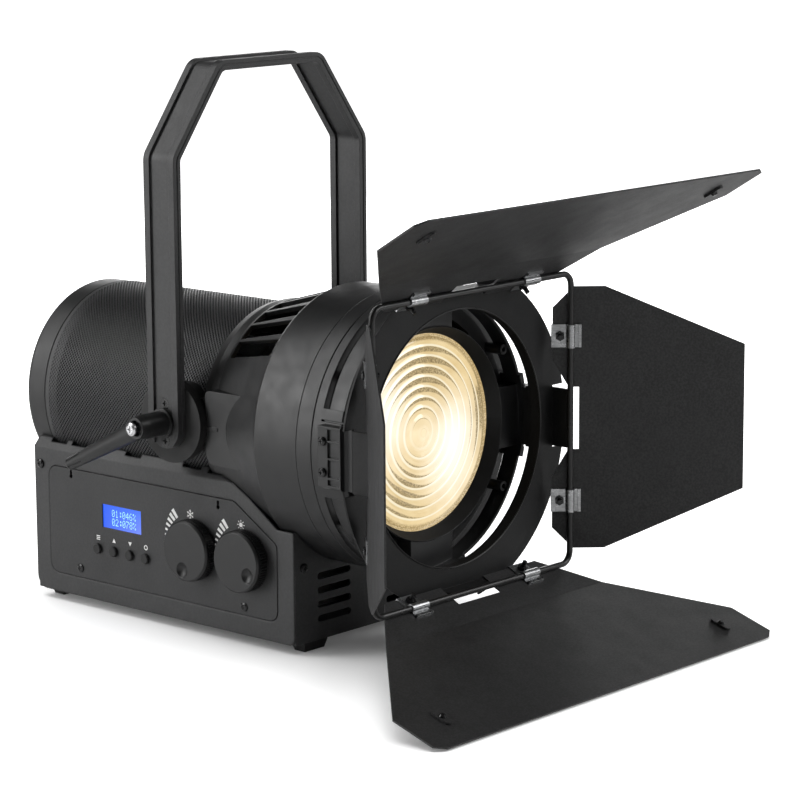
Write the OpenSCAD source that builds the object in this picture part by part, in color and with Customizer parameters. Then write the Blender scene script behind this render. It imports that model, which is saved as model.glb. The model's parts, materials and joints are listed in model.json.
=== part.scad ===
// Fresnel spotlight: lensed barrel on a control box, hanging yoke, four-leaf barndoor.
// Frame: +Z up, light leaves towards -Y, X is to the right seen from the front.
// Origin: the centre of the hanging hole in the yoke. The pieces are drawn about the optical
// axis, level with the tilt axis along the barrel, and from_hole() sets them under the hole.

/* [Barrel] */
// Outer radius of the perforated barrel and its rear cap
barrel_r = 70; // [68:0.5:72]
// Outer radius of the front housing
housing_r = 90; // [88:0.5:92]
// Rear end of the rear cap
cap_rear_y = 154; // [150:1:160]
// Clear radius of the lens
lens_clear_r = 63.2; // [60:0.1:64]

/* [Base] */
// Width over the two side covers
base_w = 140; // [138:1:142]
// Height of the base's underside below the optical axis
base_drop = 133.5; // [130:0.5:140]
// Height of the rubber feet
foot_h = 6.5; // [4:0.5:10]
// Thickness of the sheet metal
sheet_t = 1.5; // [1.2:0.1:1.6]

/* [Yoke] */
// Half width over the yoke's arms
yoke_half_w = 90; // [90:0.5:92]
// Height of the yoke's top face above the optical axis
yoke_top_z = 231; // [220:1:260]
// Height of the tilt axis above the optical axis
tilt_z = 2; // [0:0.5:4]
// Radius of the hanging hole in the yoke
hang_hole_r = 6; // [5:0.5:6.5]

/* [Controls] */
// Radius of the level knobs
knob_r = 20; // [16:0.5:21]
// Travel of the push buttons
button_travel = 0.8; // [0.4:0.1:1]
// Focus travel of the light carriage, each way
focus_travel = 30; // [10:1:30]

/* [Barndoor] */
// Side of the square wire frame, centre line to centre line
wire_side = 190; // [188:1:192]
// Radius of the wire
wire_r = 2; // [1.8:0.1:2.2]
// Angle of the top leaf, forward from flat
top_open = 50; // [0:1:90]
// Angle of the bottom leaf, forward from flat
bottom_open = 63; // [0:1:90]
// Angle of the side leaves, forward from flat
side_open = 47; // [0:1:140]
// Crease of the large leaves
crease = 9; // [0:1:12]

/* [Hidden] */

$fn = 96;
eps = 0.02;
gap = 0.05;          // radial running clearance of every pivot

// Stations along the optical axis
wire_y = -185;
plate_y = -170;      // middle of the barndoor plate
plate_t = 1.5;
ring_front_y = -153.6;
ring_seam_y = -129.4;
mould_line_y = -116.8;
housing_shoulder_y = -79;
neck_rear_y = -30;
neck_rear_r = 74.2;
band_rear_y = -17;
mesh_front_y = -25;
ring_edge_y = 123.5;
mesh_rear_y = 132;
cap_front_y = 135;
lens_y = -141;       // front of the lens rim
wall = 2.5;          // moulded wall
mesh_t = 1.2;
mesh_r = barrel_r - 0.5;

// Base
base_x = base_w / 2;
base_front_y = -94.5;
base_rear_y = 147;
base_bottom_z = -base_drop;
base_bend_z = -35.3;
base_front_top_z = -60;
flange_top_x = 63.9;
flange_top_z = -28.9;
flange_front_y = -29;
bend_front_y = -45;
chamfer_foot_y = -80.5;
plate_rear_y = 132.5;
plate_front_y = -80;
plate_top_z = -46.7;
plate_bottom_z = -120;
plate_chamfer_y = -42.5;
plate_chamfer_z = -70;
plate_groove = 0.4;
control_x = -base_x;

// Controls, as [y, z] on the control side
display_at = [62.2, -74.1];
display_size = [37, 16];
button_ys = [85.2, 70, 54.6, 39.5];
button_z = -97.4;
button_r = 3.4;
knob_z = -83.6;
cool_knob_y = -6.4;
warm_knob_y = -52.4;
knob_h = 9;
stem_r = 3;
board_x = control_x + 12;

// Yoke
strap_w = 27;
strap_t = 6.5;
hang_z = yoke_top_z - strap_t / 2;
web_t = 3.5;
bead_w = 5;
yoke_corner_x = 47.5;
yoke_corner_z = 173;
yoke_bend_r = 12;
disc_r = 27;
spigot_r = 6;
stud_r = 4;
yoke_screw_pitch = 24.4;
arm_in_x = yoke_half_w - strap_t;
boss_x = 76;
handle_x = 108;
hub_end = 114.75;
lever_screw_r = 2;

// Focus drive
rod_x = 59;
rod_r = 3;
screw_z = -57;
focus_screw_r = 4;
carriage_y = -35;    // front face of the carriage plate
carriage_t = 4;

// Barndoor leaves: u along the hinge, v outwards from the wire
hinge_d = wire_side / 2;
leaf_t = 1.2;
leaf_n = wire_r + 0.1;          // near face of the leaf from the wire's axis
strip_v = -11.5;
strip_half = 72.3;
hinge_half = 86;
notch_half = 20.5;
notch_v = 5.8;
crease_v = 22.5;
crease_half = 105;
large_half = 166;
outer_l = 101;                  // outer panel, from the crease to past the tip
clip_u = 54;
clip_w = 15;
clip_t = 0.8;
latch_u = 137;
latch_v = 75;                   // beyond the crease
screw_v = -6.8;
tab_half = 19.25;
plate_hole_r = 81.7;
plate_r = 106.4;

// ---------- helpers ----------

// Unit vector of v
function unit(v) = v / norm(v);

// Points of the arc that rounds corner b between a and c with radius r
function corner_arc(a, b, c, r, steps) =
    let (
        p = unit(a - b),
        q = unit(c - b),
        half = acos(p * q) / 2,
        reach = r / tan(half),
        mid = b + unit(p + q) * r / sin(half),
        from = b + p * reach - mid,
        to = b + q * reach - mid,
        total = acos(max(-1, min(1, unit(from) * unit(to)))),
        turn = (from.x * to.y - from.y * to.x) < 0 ? -total : total
    )
    [for (i = [0 : steps])
        let (t = turn * i / steps)
        mid + [from.x * cos(t) - from.y * sin(t), from.x * sin(t) + from.y * cos(t)]];

// Outline through pts with each corner rounded to its radius in rs (0 keeps it sharp)
function rounded(pts, rs, steps = 5) =
    let (n = len(pts))
    [for (i = [0 : n - 1])
        each (rs[i] == 0 ? [pts[i]]
            : corner_arc(pts[(i + n - 1) % n], pts[i], pts[(i + 1) % n], rs[i], steps))];

// Moves what is drawn about the optical axis into the part's frame
module from_hole() {
    translate([0, 0, -hang_z]) children();
}

// Cylinder along +Y from y0 to y1
module y_cyl(y0, y1, r, r2 = undef) {
    translate([0, y0, 0])
        rotate([-90, 0, 0])
            cylinder(h = y1 - y0, r1 = r, r2 = r2 == undef ? r : r2);
}

// Tube along Y
module y_tube(y0, y1, ro, ri) {
    difference() {
        y_cyl(y0, y1, ro);
        y_cyl(y0 - 1, y1 + 1, ri);
    }
}

// Cylinder along X from x0 to x1 (x0 < x1)
module x_cyl(x0, x1, r, r2 = undef) {
    translate([x0, 0, 0])
        rotate([0, 90, 0])
            cylinder(h = x1 - x0, r1 = r, r2 = r2 == undef ? r : r2);
}

// Solid of revolution about the optical axis; profile is [radius, y]
module y_revolve(profile) {
    rotate([-90, 0, 0])
        rotate_extrude($fn = 128)
            polygon(profile);
}

// Sheet lying in the YZ plane, outline in [y, z], from x0 to x1
module yz_sheet(outline, x0, x1) {
    translate([x0, 0, 0])
        rotate([90, 0, 90])
            linear_extrude(height = x1 - x0)
                polygon(outline);
}

// Box given by its low and high corners
module box(lo, hi) {
    translate(lo) cube(hi - lo);
}

// Outline of a slot with round ends, w over all along X and h high
module slot_2d(w, h) {
    square([w - h, h], center = true);
    for (s = [-1, 1])
        translate([s * (w - h) / 2, 0]) circle(d = h, $fn = 32);
}

// Children copied to four quarter turns about the optical axis
module quarter_turns() {
    for (a = [0 : 90 : 270])
        rotate([0, a, 0]) children();
}

// Children here and mirrored in X
module both_sides() {
    children();
    mirror([1, 0, 0]) children();
}

// Pan-head screw with a cross recess; head out along +Z, seated at z = 0
module pan_screw(head_r, head_h, shank_r, shank_l) {
    difference() {
        union() {
            cylinder(h = head_h * 0.6, r = head_r, $fn = 32);
            translate([0, 0, head_h * 0.6])
                cylinder(h = head_h * 0.4, r1 = head_r, r2 = head_r * 0.65, $fn = 32);
        }
        for (a = [0, 90])
            rotate([0, 0, a])
                translate([-head_r * 0.5, -head_r * 0.12, head_h * 0.45])
                    cube([head_r, head_r * 0.24, head_h]);
    }
    translate([0, 0, -shank_l]) cylinder(h = shank_l, r = shank_r, $fn = 24);
}

// Countersunk screw with a cross recess; top flush with z = 0
module flat_screw(head_r, head_h, shank_r, shank_l) {
    difference() {
        translate([0, 0, -head_h]) cylinder(h = head_h, r1 = shank_r, r2 = head_r, $fn = 32);
        for (a = [0, 90])
            rotate([0, 0, a])
                translate([-head_r * 0.45, -head_r * 0.12, -head_h * 0.5])
                    cube([head_r * 0.9, head_r * 0.24, head_h]);
    }
    translate([0, 0, -shank_l]) cylinder(h = shank_l - head_h, r = shank_r, $fn = 24);
}

// Places a leaf's frame: +X along the hinge, +Z outwards in the leaf, +Y to its outer side
module leaf_frame(roll, open) {
    translate([0, wire_y, 0])
        rotate([0, roll, 0])
            translate([0, 0, hinge_d])
                rotate([open, 0, 0])
                    children();
}

// Places the frame of a large leaf's outer panel, beyond its crease
module outer_panel_frame(roll, open) {
    leaf_frame(roll, open)
        translate([0, leaf_n, crease_v])
            rotate([crease, 0, 0])
                children();
}

// ---------- base ----------

function cover_outline() = rounded(
    [
        [base_front_y, base_bottom_z],
        [base_rear_y, base_bottom_z],
        [base_rear_y, base_bend_z],
        [bend_front_y, base_bend_z],
        [chamfer_foot_y, base_front_top_z],
        [base_front_y, base_front_top_z]
    ],
    [5, 9, 0, 0, 2, 1]
);

function control_outline(grow) = rounded(
    [
        [plate_front_y - grow, plate_bottom_z - grow],
        [plate_rear_y + grow, plate_bottom_z - grow],
        [plate_rear_y + grow, plate_top_z + grow],
        [plate_chamfer_y - grow * 0.4, plate_top_z + grow],
        [plate_front_y - grow, plate_chamfer_z + grow * 0.4]
    ],
    [7, 7, 7, 5, 5]
);

// Inclined flange that closes the cover against the barrel, on the left side
module cover_flange() {
    notches = [[-10, 17], [46, 15], [97, 16], [118, 15]];
    difference() {
        hull() {
            box([-base_x, bend_front_y, base_bend_z - eps],
                [-base_x + sheet_t, base_rear_y, base_bend_z + eps]);
            box([-flange_top_x - sheet_t, flange_front_y, flange_top_z - eps],
                [-flange_top_x, base_rear_y - 1, flange_top_z + eps]);
        }
        y_cyl(base_front_y, base_rear_y + 1, barrel_r + 0.1);
        for (n = notches)
            box([-flange_top_x - 4, n[0], flange_top_z - 2.4], [-flange_top_x + 4, n[0] + n[1], flange_top_z + 1]);
    }
}

// Space the neck of the housing needs, with a small gap all round
module neck_envelope() {
    spare = 0.4;
    y_revolve([
        [0, base_front_y - 5],
        [housing_r + spare, base_front_y - 5],
        [housing_r + spare, housing_shoulder_y],
        [housing_r - 2.5 + spare, housing_shoulder_y + spare],
        [neck_rear_r + spare, neck_rear_y],
        [neck_rear_r + spare, band_rear_y + spare],
        [0, band_rear_y + spare]
    ]);
}

module cover_shell() {
    difference() {
        union() {
            yz_sheet(cover_outline(), -base_x, -base_x + sheet_t);
            cover_flange();
        }
        neck_envelope();
    }
}

module side_cover_left() {
    color("#3a3b3d") from_hole()
    difference() {
        cover_shell();
        yz_sheet(control_outline(plate_groove), -base_x - 1, -base_x + sheet_t + 1);
    }
}

module side_cover_right() {
    color("#3a3b3d") from_hole()
    mirror([1, 0, 0]) cover_shell();
}

module louvre(x, z) {
    slot_w = 31;
    slot_h = 4.4;
    translate([x, base_front_y, z])
        rotate([90, 0, 0])
            linear_extrude(height = 3 * sheet_t, center = true)
                slot_2d(slot_w, slot_h);
}

module base_tray() {
    in_x = base_x - sheet_t;
    louvre_pitch = 9.3;
    color("#222325") from_hole()
    difference() {
        union() {
            box([-in_x, base_front_y, base_bottom_z], [in_x, base_rear_y, base_bottom_z + sheet_t]);
            box([-in_x, base_front_y, base_bottom_z], [in_x, base_front_y + sheet_t, base_front_top_z]);
            box([-in_x, base_rear_y - sheet_t, base_bottom_z], [in_x, base_rear_y, base_bend_z - 1]);
            box([-flange_top_x + 2.5, base_rear_y - sheet_t, base_bend_z - 2], [flange_top_x - 2.5, base_rear_y, -30]);
        }
        y_cyl(base_front_y - 1, base_front_y + 5, housing_r + 0.2);
        y_cyl(base_rear_y - 5, base_rear_y + 1, barrel_r + 0.2);
        for (side = [-1, 1], i = [0 : 3])
            louvre(side * 32.5, -92 - i * louvre_pitch);
        translate([inlet_x, base_rear_y, socket_z]) cube([26, 8, 19], center = true);
        for (x = socket_xs)
            translate([x, 0, socket_z]) y_cyl(base_rear_y - 4, base_rear_y + 1, 11.2);
    }
}

module rubber_feet() {
    foot_w = 21;
    foot_d = 12;
    color("#141414") from_hole()
    for (side = [-1, 1], y = [base_front_y + 1, base_rear_y - foot_d - 2])
        hull() {
            translate([side * 49 - foot_w / 2, y, base_bottom_z - 1])
                cube([foot_w, foot_d, 1]);
            translate([side * 49 - foot_w / 2 + 1.5, y + 1.5, base_bottom_z - foot_h])
                cube([foot_w - 3, foot_d - 3, 1]);
        }
}

module case_screws() {
    color("#161616") from_hole() {
        both_sides() {
            translate([-base_x, 141, -47])
                rotate([0, -90, 0]) pan_screw(3.2, 1.6, 1.4, 1.4);
            translate([-61, base_front_y, -84])
                rotate([90, 0, 0]) pan_screw(3, 1.4, 1.4, 1.4);
        }
        for (at = [[103.4, -113.9], [-50.5, -114.9]])
            translate([control_x - 0.3, at.x, at.y])
                rotate([0, -90, 0]) pan_screw(3, 1, 1.4, 1.6);
    }
}

module keyhole(y, z) {
    translate([control_x, y, z])
        rotate([0, 90, 0])
            cylinder(h = 8, r = 1.5, center = true, $fn = 24);
    translate([control_x - 4, y - 1, z]) cube([8, 2, 4]);
}

module control_plate() {
    lip = 3;
    outer_x = control_x - 0.3;
    back_x = control_x + sheet_t;
    color("#2e2f31") from_hole()
    difference() {
        union() {
            yz_sheet(control_outline(0), outer_x, back_x + eps);
            yz_sheet(control_outline(lip), back_x, back_x + 1.2);
        }
        translate([control_x, display_at.x, display_at.y])
            cube([9, display_size.x, display_size.y], center = true);
        for (y = button_ys)
            translate([0, y, button_z]) x_cyl(control_x - 2, control_x + 5, button_r + gap);
        for (y = [cool_knob_y, warm_knob_y])
            translate([0, y, knob_z]) x_cyl(control_x - 2, control_x + 5, 4.5);
        keyhole(110.7, -51.5);
        keyhole(-28.4, -52.4);
    }
}

module display_window() {
    color("#2356d8") from_hole()
    translate([control_x + 1.1, display_at.x, display_at.y])
        cube([1.6, display_size.x - 0.1, display_size.y - 0.1], center = true);
}

module control_board() {
    plate_back = control_x + sheet_t + 1.2;
    pot_r = 8;
    color("#1f5a34") from_hole() {
        difference() {
            box([board_x, -76, -116], [board_x + 1.6, 128, -52]);
            neck_envelope();
        }
        // display module behind the window
        box([plate_back + 0.1, 41, -84], [board_x, 84, -64]);
        // potentiometers under the knobs
        for (y = [cool_knob_y, warm_knob_y])
            translate([0, y, knob_z])
                difference() {
                    x_cyl(plate_back + 0.5, board_x, pot_r);
                    x_cyl(plate_back, board_x - 1, stem_r + gap);
                }
        // switches under the buttons
        for (y = button_ys)
            translate([0, y, button_z]) x_cyl(board_x - 2, board_x, 3);
        // spacers to the plate
        for (at = [[-70, -112], [20, -112], [122, -112], [20, -56], [122, -56]])
            translate([0, at.x, at.y]) x_cyl(plate_back, board_x, 2.5);
    }
}

module level_knob(y, dimple_turn) {
    dimple_r = 5.2;
    face_x = control_x - 1 - knob_h;
    color("#262729") from_hole()
    translate([0, y, knob_z]) {
        difference() {
            union() {
                x_cyl(face_x, face_x + 1.2, knob_r - 1.2, knob_r);
                x_cyl(face_x + 1.2, control_x - 1, knob_r);
            }
            rotate([dimple_turn, 0, 0])
                translate([face_x - 4.2, 0, -12.9])
                    sphere(r = 6.6, $fn = 48);
        }
        x_cyl(control_x - 1, board_x - 2, stem_r);
    }
}

module cool_level_knob() {
    level_knob(cool_knob_y, 10);
}

module warm_level_knob() {
    level_knob(warm_knob_y, -56);
}

module push_button(i) {
    stand = 2.6;
    color("#151515") from_hole()
    translate([0, button_ys[i], button_z]) {
        x_cyl(control_x - stand, control_x - stand + 0.5, button_r - 0.5, button_r);
        x_cyl(control_x - stand + 0.5, board_x - 2 - button_travel - 0.3, button_r);
    }
}

module power_supply() {
    color("#a8abae") from_hole()
    difference() {
        box([-40, -40, base_bottom_z + sheet_t], [45, 95, base_bottom_z + sheet_t + 38]);
        for (y = [-28 : 10 : 82])
            box([-28, y, base_bottom_z + 36], [33, y + 4, base_bottom_z + 42]);
    }
}

inlet_x = -38;
socket_xs = [12, 44];
socket_z = -104;

module power_inlet() {
    color("#101010") from_hole()
    difference() {
        union() {
            translate([inlet_x, base_rear_y + 1.2, socket_z]) cube([48, 2.4, 23], center = true);
            translate([inlet_x, base_rear_y - 10, socket_z]) cube([25.8, 20, 18.8], center = true);
        }
        translate([inlet_x, base_rear_y - 4, socket_z]) cube([21, 16, 14], center = true);
    }
    color("#b9a25a") from_hole()
    for (x = [-5, 0, 5])
        translate([inlet_x + x, base_rear_y - 9, socket_z + (x == 0 ? 3 : -2)])
            cube([1.6, 8, 3], center = true);
}

module signal_sockets() {
    color("#2b2b2b") from_hole()
    for (x = socket_xs)
        translate([x, 0, socket_z]) {
            difference() {
                union() {
                    translate([0, base_rear_y + 1, 0]) cube([26, 2, 31], center = true);
                    y_cyl(base_rear_y - 18, base_rear_y + 3.5, 11);
                }
                y_cyl(base_rear_y - 8, base_rear_y + 5, 9);
            }
            for (a = [90, 210, 330])
                rotate([0, a, 0])
                    translate([5, 0, 0]) y_cyl(base_rear_y - 9, base_rear_y, 1.1);
        }
}

// ---------- barrel ----------

module barrel_mesh() {
    color("#3c3d3f") from_hole()
    y_tube(mesh_front_y, mesh_rear_y, mesh_r, mesh_r - mesh_t);
}

module rear_ring() {
    seat_r = mesh_r + eps;
    seat_y = mesh_rear_y + eps;
    color("#37383a") from_hole()
    y_revolve([
        [seat_r, ring_edge_y],
        [barrel_r, ring_edge_y],
        [barrel_r, cap_front_y - 0.4],
        [barrel_r - 0.4, cap_front_y],
        [mesh_r - 3.5, cap_front_y],
        [mesh_r - 3.5, seat_y],
        [seat_r, seat_y]
    ]);
}

module rear_cap() {
    cap_round = 4;
    floor_y = cap_rear_y - wall;
    color("#333436") from_hole()
    difference() {
        union() {
            y_revolve([
                [0, floor_y],
                [barrel_r - wall, floor_y],
                [barrel_r - wall, cap_front_y + eps],
                [barrel_r - 0.6, cap_front_y + eps],
                [barrel_r, cap_front_y + 0.6],
                for (a = [0 : 15 : 90])
                    [barrel_r - cap_round + cap_round * cos(a), cap_rear_y - cap_round + cap_round * sin(a)],
                [0, cap_rear_y]
            ]);
            both_sides() translate([rod_x, 0, 0]) y_cyl(cap_front_y + 4, floor_y + 1, 6);
            translate([0, 0, screw_z]) y_cyl(cap_front_y + 6, floor_y + 1, 8);
        }
        both_sides() translate([rod_x, 0, 0]) y_cyl(cap_front_y, floor_y - 1, rod_r);
        translate([0, 0, screw_z]) y_cyl(cap_front_y, cap_rear_y + 1, focus_screw_r + gap);
        for (i = [-4 : 4])
            translate([i * 9, floor_y - 1, 10])
                rotate([-90, 90, 0])
                    linear_extrude(height = wall + 2)
                        slot_2d(2 * (28 - abs(i) * 3), 4.8);
    }
}

// Round boss and spigot the yoke turns on, cut to the barrel behind it
module pivot_boss() {
    boss_r = 24;
    difference() {
        translate([0, 0, tilt_z]) {
            x_cyl(-boss_x, -barrel_r + 4, boss_r);
            x_cyl(-boss_x - 6, -boss_x + 1, spigot_r);
        }
        translate([0, 0, tilt_z]) x_cyl(-boss_x - 8, -barrel_r + 8, stud_r + gap);
        y_cyl(-boss_r - 20, boss_r + 20, mesh_r + eps);
    }
}

// Flat cheek on the neck, with the arm that reaches back to the pivot boss
module cheek() {
    cheek_x = 78;
    arm_half = 16;
    outline = rounded(
        [[housing_shoulder_y - 8, -25], [-26, -23], [-26, 24.5], [housing_shoulder_y - 8, 24.5]],
        [0, 8, 4, 0]
    );
    difference() {
        union() {
            yz_sheet(outline, -cheek_x, -barrel_r + 8);
            // raised tilt index
            box([-cheek_x - 0.5, -37, tilt_z - 3], [-cheek_x + 1, -24, tilt_z - 0.4]);
        }
        y_cyl(housing_shoulder_y - 10, 0, barrel_r + 0.2);
        translate([0, 0, tilt_z]) x_cyl(-cheek_x - 2, -boss_x + 0.1, disc_r + 0.6);
    }
    difference() {
        box([-boss_x + 0.5, -28, tilt_z - arm_half], [-barrel_r + 6, 0, tilt_z + arm_half]);
        y_cyl(-40, 30, mesh_r + eps);
        translate([0, 0, tilt_z]) x_cyl(-boss_x - 2, -barrel_r + 8, stud_r + gap);
    }
}

module front_housing() {
    slot_count = 10;
    slot_pitch = 11;
    web_front_y = -85;
    color("#38393b") from_hole()
    difference() {
        union() {
            y_revolve([
                [housing_r - wall, ring_seam_y],
                [housing_r - 0.5, ring_seam_y],
                [housing_r, ring_seam_y + 0.5],
                [housing_r, housing_shoulder_y - 2],
                [housing_r - 0.6, housing_shoulder_y - 0.6],
                [housing_r - 2.5, housing_shoulder_y],
                [neck_rear_r, neck_rear_y],
                [neck_rear_r - 0.3, neck_rear_y + 6],
                [neck_rear_r - 2, band_rear_y - 0.6],
                [neck_rear_r - 2.6, band_rear_y],
                [barrel_r - 0.3, band_rear_y],
                [barrel_r - 0.3, neck_rear_y + 4],
                [housing_r - 2.5 - wall, housing_shoulder_y - 2],
                [housing_r - wall, housing_shoulder_y - 4]
            ]);
            // inner web that carries the guide rods and the focus screw
            difference() {
                y_cyl(web_front_y, web_front_y + 4, housing_r - 1);
                y_cyl(web_front_y - 1, web_front_y + 5, 52);
            }
            both_sides() cheek();
            both_sides() pivot_boss();
        }
        for (i = [0 : slot_count - 1])
            rotate([0, (i - (slot_count - 1) / 2) * slot_pitch, 0])
                translate([-6.2, housing_shoulder_y + 2.5, 64])
                    cube([12.4, neck_rear_y - housing_shoulder_y - 5, 40]);
        y_tube(mould_line_y - 0.2, mould_line_y + 0.2, housing_r + 1, housing_r - 0.4);
        both_sides() translate([rod_x, 0, 0]) y_cyl(web_front_y + 1, web_front_y + 5, rod_r);
        translate([0, 0, screw_z]) y_cyl(web_front_y - 1, web_front_y + 5, focus_screw_r + gap);
    }
}

module front_ring() {
    wall_r = housing_r - 4;
    bezel_r = 68.6;
    floor_front_y = -137;
    slot_front_y = -139.8;
    slot_rear_y = -136.5;
    slot_end = 18;       // angle from a clip's middle to the slot and the notch
    notch_r = 87.9;      // the wall is thinner in front of each slot
    notch_front_y = -151.7;
    relief_at = 12.9;    // angle to the shallow groove beside the clip
    groove = 1.5;
    boss_angles = [33, 147, 213, 327];
    boss_x = 82.6;
    boss_r = 3.4;
    boss_front_y = -150.5;
    color("#2c2d2f") from_hole()
    difference() {
        union() {
            y_revolve([
                [housing_r - 0.6, ring_front_y],
                [housing_r, ring_front_y + 0.6],
                [housing_r, ring_seam_y - 0.6],
                [housing_r - 0.5, ring_seam_y],
                [wall_r, ring_seam_y],
                [wall_r, ring_front_y]
            ]);
            // floor, bezel tube and its inner cone
            y_revolve([
                [lens_clear_r, lens_y],
                [bezel_r - 0.6, -150],
                [bezel_r, -149.4],
                [bezel_r + 0.4, floor_front_y],
                [wall_r + 1, floor_front_y],
                [wall_r + 1, floor_front_y + 2.5],
                [lens_clear_r + 2, floor_front_y + 2.5],
                [lens_clear_r + 2, lens_y]
            ]);
            // lugs that bridge bezel and wall
            quarter_turns()
                intersection() {
                    box([-20, -149, 0], [20, floor_front_y + 1, 100]);
                    y_tube(-151, floor_front_y + 2, wall_r + 1, bezel_r - 0.5);
                }
            for (a = boss_angles)
                rotate([0, a, 0])
                    translate([boss_x, 0, 0]) y_cyl(boss_front_y, floor_front_y + 1, boss_r);
        }
        for (q = [0 : 90 : 270]) {
            rotate([0, q + slot_end, 0]) {
                sweep = 90 - 2 * slot_end;
                arc_slot(slot_front_y, slot_rear_y, boss_x + boss_r - 1, 100, sweep);
                arc_slot(ring_front_y - 1, slot_front_y + 1, notch_r, 100, sweep);
                arc_slot(ring_front_y - 1, notch_front_y, 80, 100, sweep);
            }
            // shallow grooves beside each clip
            for (a = [relief_at, 89.2 - relief_at])
                rotate([0, q + a, 0])
                    arc_slot(ring_front_y - 1, slot_rear_y, housing_r - groove, housing_r + 5, 0.8);
            rotate([0, q + 18, 0]) arc_slot(floor_front_y - 1, floor_front_y + 4, 71.5, 75.5, 24);
            rotate([0, q + 48, 0]) arc_slot(floor_front_y - 1, floor_front_y + 4, 71.5, 75.5, 24);
        }
        for (a = boss_angles)
            rotate([0, a, 0])
                translate([boss_x, 0, 0]) y_cyl(boss_front_y - 1, boss_front_y + 9, boss_r / 2);
    }
}

// Cutter: sector of a ring about the optical axis, from +X turning towards -Z
module arc_slot(y0, y1, r0, r1, sweep) {
    translate([0, y1, 0])
        rotate([90, 0, 0])
            rotate([0, 0, -sweep])
                rotate_extrude(angle = sweep, $fn = 128)
                    translate([r0, 0]) square([r1 - r0, y1 - y0]);
}

module fresnel_lens() {
    rim_r = lens_clear_r + 1.9;
    rim_t = 3.9;
    bull_r = 12.6;
    rings = 8;
    pitch = 6.5;
    outer_r = lens_clear_r - 1;
    step_h = 2.2;
    back_y = lens_y + rim_t;
    color("#f7ead0") from_hole()
    y_revolve(concat(
        [[0, back_y], [0, lens_y - 1.5]],
        [for (i = [1 : 6]) let (r = bull_r * i / 6) [r, lens_y - 1.5 + 3 * pow(i / 6, 2)]],
        [for (i = [0 : rings - 1], k = [0, 1])
            k == 0 ? [bull_r + i * pitch + 0.01, lens_y + 1.5 - step_h]
                : [min(bull_r + (i + 1) * pitch, outer_r), lens_y + 1.5]],
        [[lens_clear_r - 0.9, lens_y + 0.2], [rim_r, lens_y + 0.2], [rim_r, back_y]]
    ));
}

clip_screw_y = -143.6;

// One accessory clip, at the top; its jaw traps the rim of the turn ring
module accessory_clip() {
    clip_half = 19;
    lip_half = 20;
    root_r = 83;
    front_y = -168.5;
    step_y = -158.2;
    rear_y = -139.6;
    out_r = 94.6;
    jaw_r = 85.6;
    jaw = [rim_front_y - 0.3, rim_rear_y + 0.3];
    panel_rear_y = -147.6;
    rib = 0.6;
    ribs = [-clip_half + 1, -13.2, -1, 9.8, clip_half - 1];
    difference() {
        union() {
            box([-clip_half, step_y, root_r], [clip_half, rear_y, out_r]);
            // lip that steps down in front of the ribs
            yz_sheet([
                [front_y, root_r],
                [front_y, 86.6],
                [-165.6, 87.2],
                [-164.4, 90.7],
                [-161, 90.7],
                [-159, 91.8],
                [step_y, 93.8],
                [step_y + 1, 93.8],
                [step_y + 1, root_r]
            ], -lip_half, lip_half);
        }
        y_cyl(front_y - 1, ring_front_y, jaw_r);
        y_cyl(jaw[0], jaw[1], turn_ring_r + gap);
        y_cyl(ring_front_y - 0.05, rear_y + 1, housing_r + eps);
        // shallow panels between ribs on the front half
        for (i = [0 : len(ribs) - 2])
            box([ribs[i] + rib, step_y + 0.8, out_r - 1.4], [ribs[i + 1] - rib, panel_rear_y, out_r + 1]);
        for (x = [-9.7, 9.7])
            translate([x, clip_screw_y, 0]) cylinder(h = 120, r = 1.55, $fn = 24);
    }
}

module accessory_clips() {
    color("#1b1b1c") from_hole()
    quarter_turns() accessory_clip();
}

module accessory_clip_screws() {
    color("#0e0e0e") from_hole()
    quarter_turns()
        for (x = [-9.7, 9.7])
            translate([x, clip_screw_y, 94.6]) pan_screw(2.9, 2, 1.5, 6);
}

// ---------- focus drive ----------

module guide_rods() {
    color("silver") from_hole()
    both_sides()
        translate([rod_x, 0, 0]) y_cyl(-84, cap_front_y + 12, rod_r);
}

module carriage_plate() {
    color("#9a9da0") from_hole()
    difference() {
        union() {
            y_cyl(carriage_y, carriage_y + carriage_t, 50);
            both_sides() {
                box([0, carriage_y, -7], [rod_x, carriage_y + carriage_t, 7]);
                translate([rod_x, 0, 0]) y_cyl(carriage_y - 6, carriage_y + 12, 6.5);
            }
            box([-7, carriage_y, screw_z], [7, carriage_y + carriage_t, 0]);
            translate([0, 0, screw_z]) y_cyl(carriage_y - 6, carriage_y + 10, 7.5);
        }
        both_sides() translate([rod_x, 0, 0]) y_cyl(carriage_y - 7, carriage_y + 13, rod_r + gap);
        translate([0, 0, screw_z]) y_cyl(carriage_y - 7, carriage_y + 11, focus_screw_r + gap);
    }
}

module heatsink() {
    core_r = 20;
    fin_r = 46;
    disc_t = 5;
    fins = 20;
    y0 = carriage_y + carriage_t;
    length = 46;
    color("#8f9296") from_hole() {
        y_cyl(y0, y0 + disc_t, fin_r + 2);
        translate([0, y0 + disc_t - 1, 0])
            rotate([-90, 0, 0])
                linear_extrude(height = length - disc_t + 1) {
                    circle(r = core_r);
                    for (i = [0 : fins - 1])
                        rotate(i * 360 / fins) translate([core_r - 2, -0.9]) square([fin_r - core_r + 2, 1.8]);
                }
    }
}

module light_module() {
    color("#e8d9a0") from_hole() {
        box([-22, carriage_y - 2, -22], [22, carriage_y, 22]);
        y_cyl(carriage_y - 3.4, carriage_y - 2, 13);
    }
}

module reflector() {
    y1 = carriage_y - 2.2;
    depth = 22;
    color("#d9dadb") from_hole()
    y_revolve([
        [14.6, y1], [31, y1 - depth], [35, y1 - depth], [35, y1 - depth + 1.5],
        [32, y1 - depth + 1.5], [17.2, y1 - 1.5], [24, y1 - 1.5], [24, y1]
    ]);
}

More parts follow.
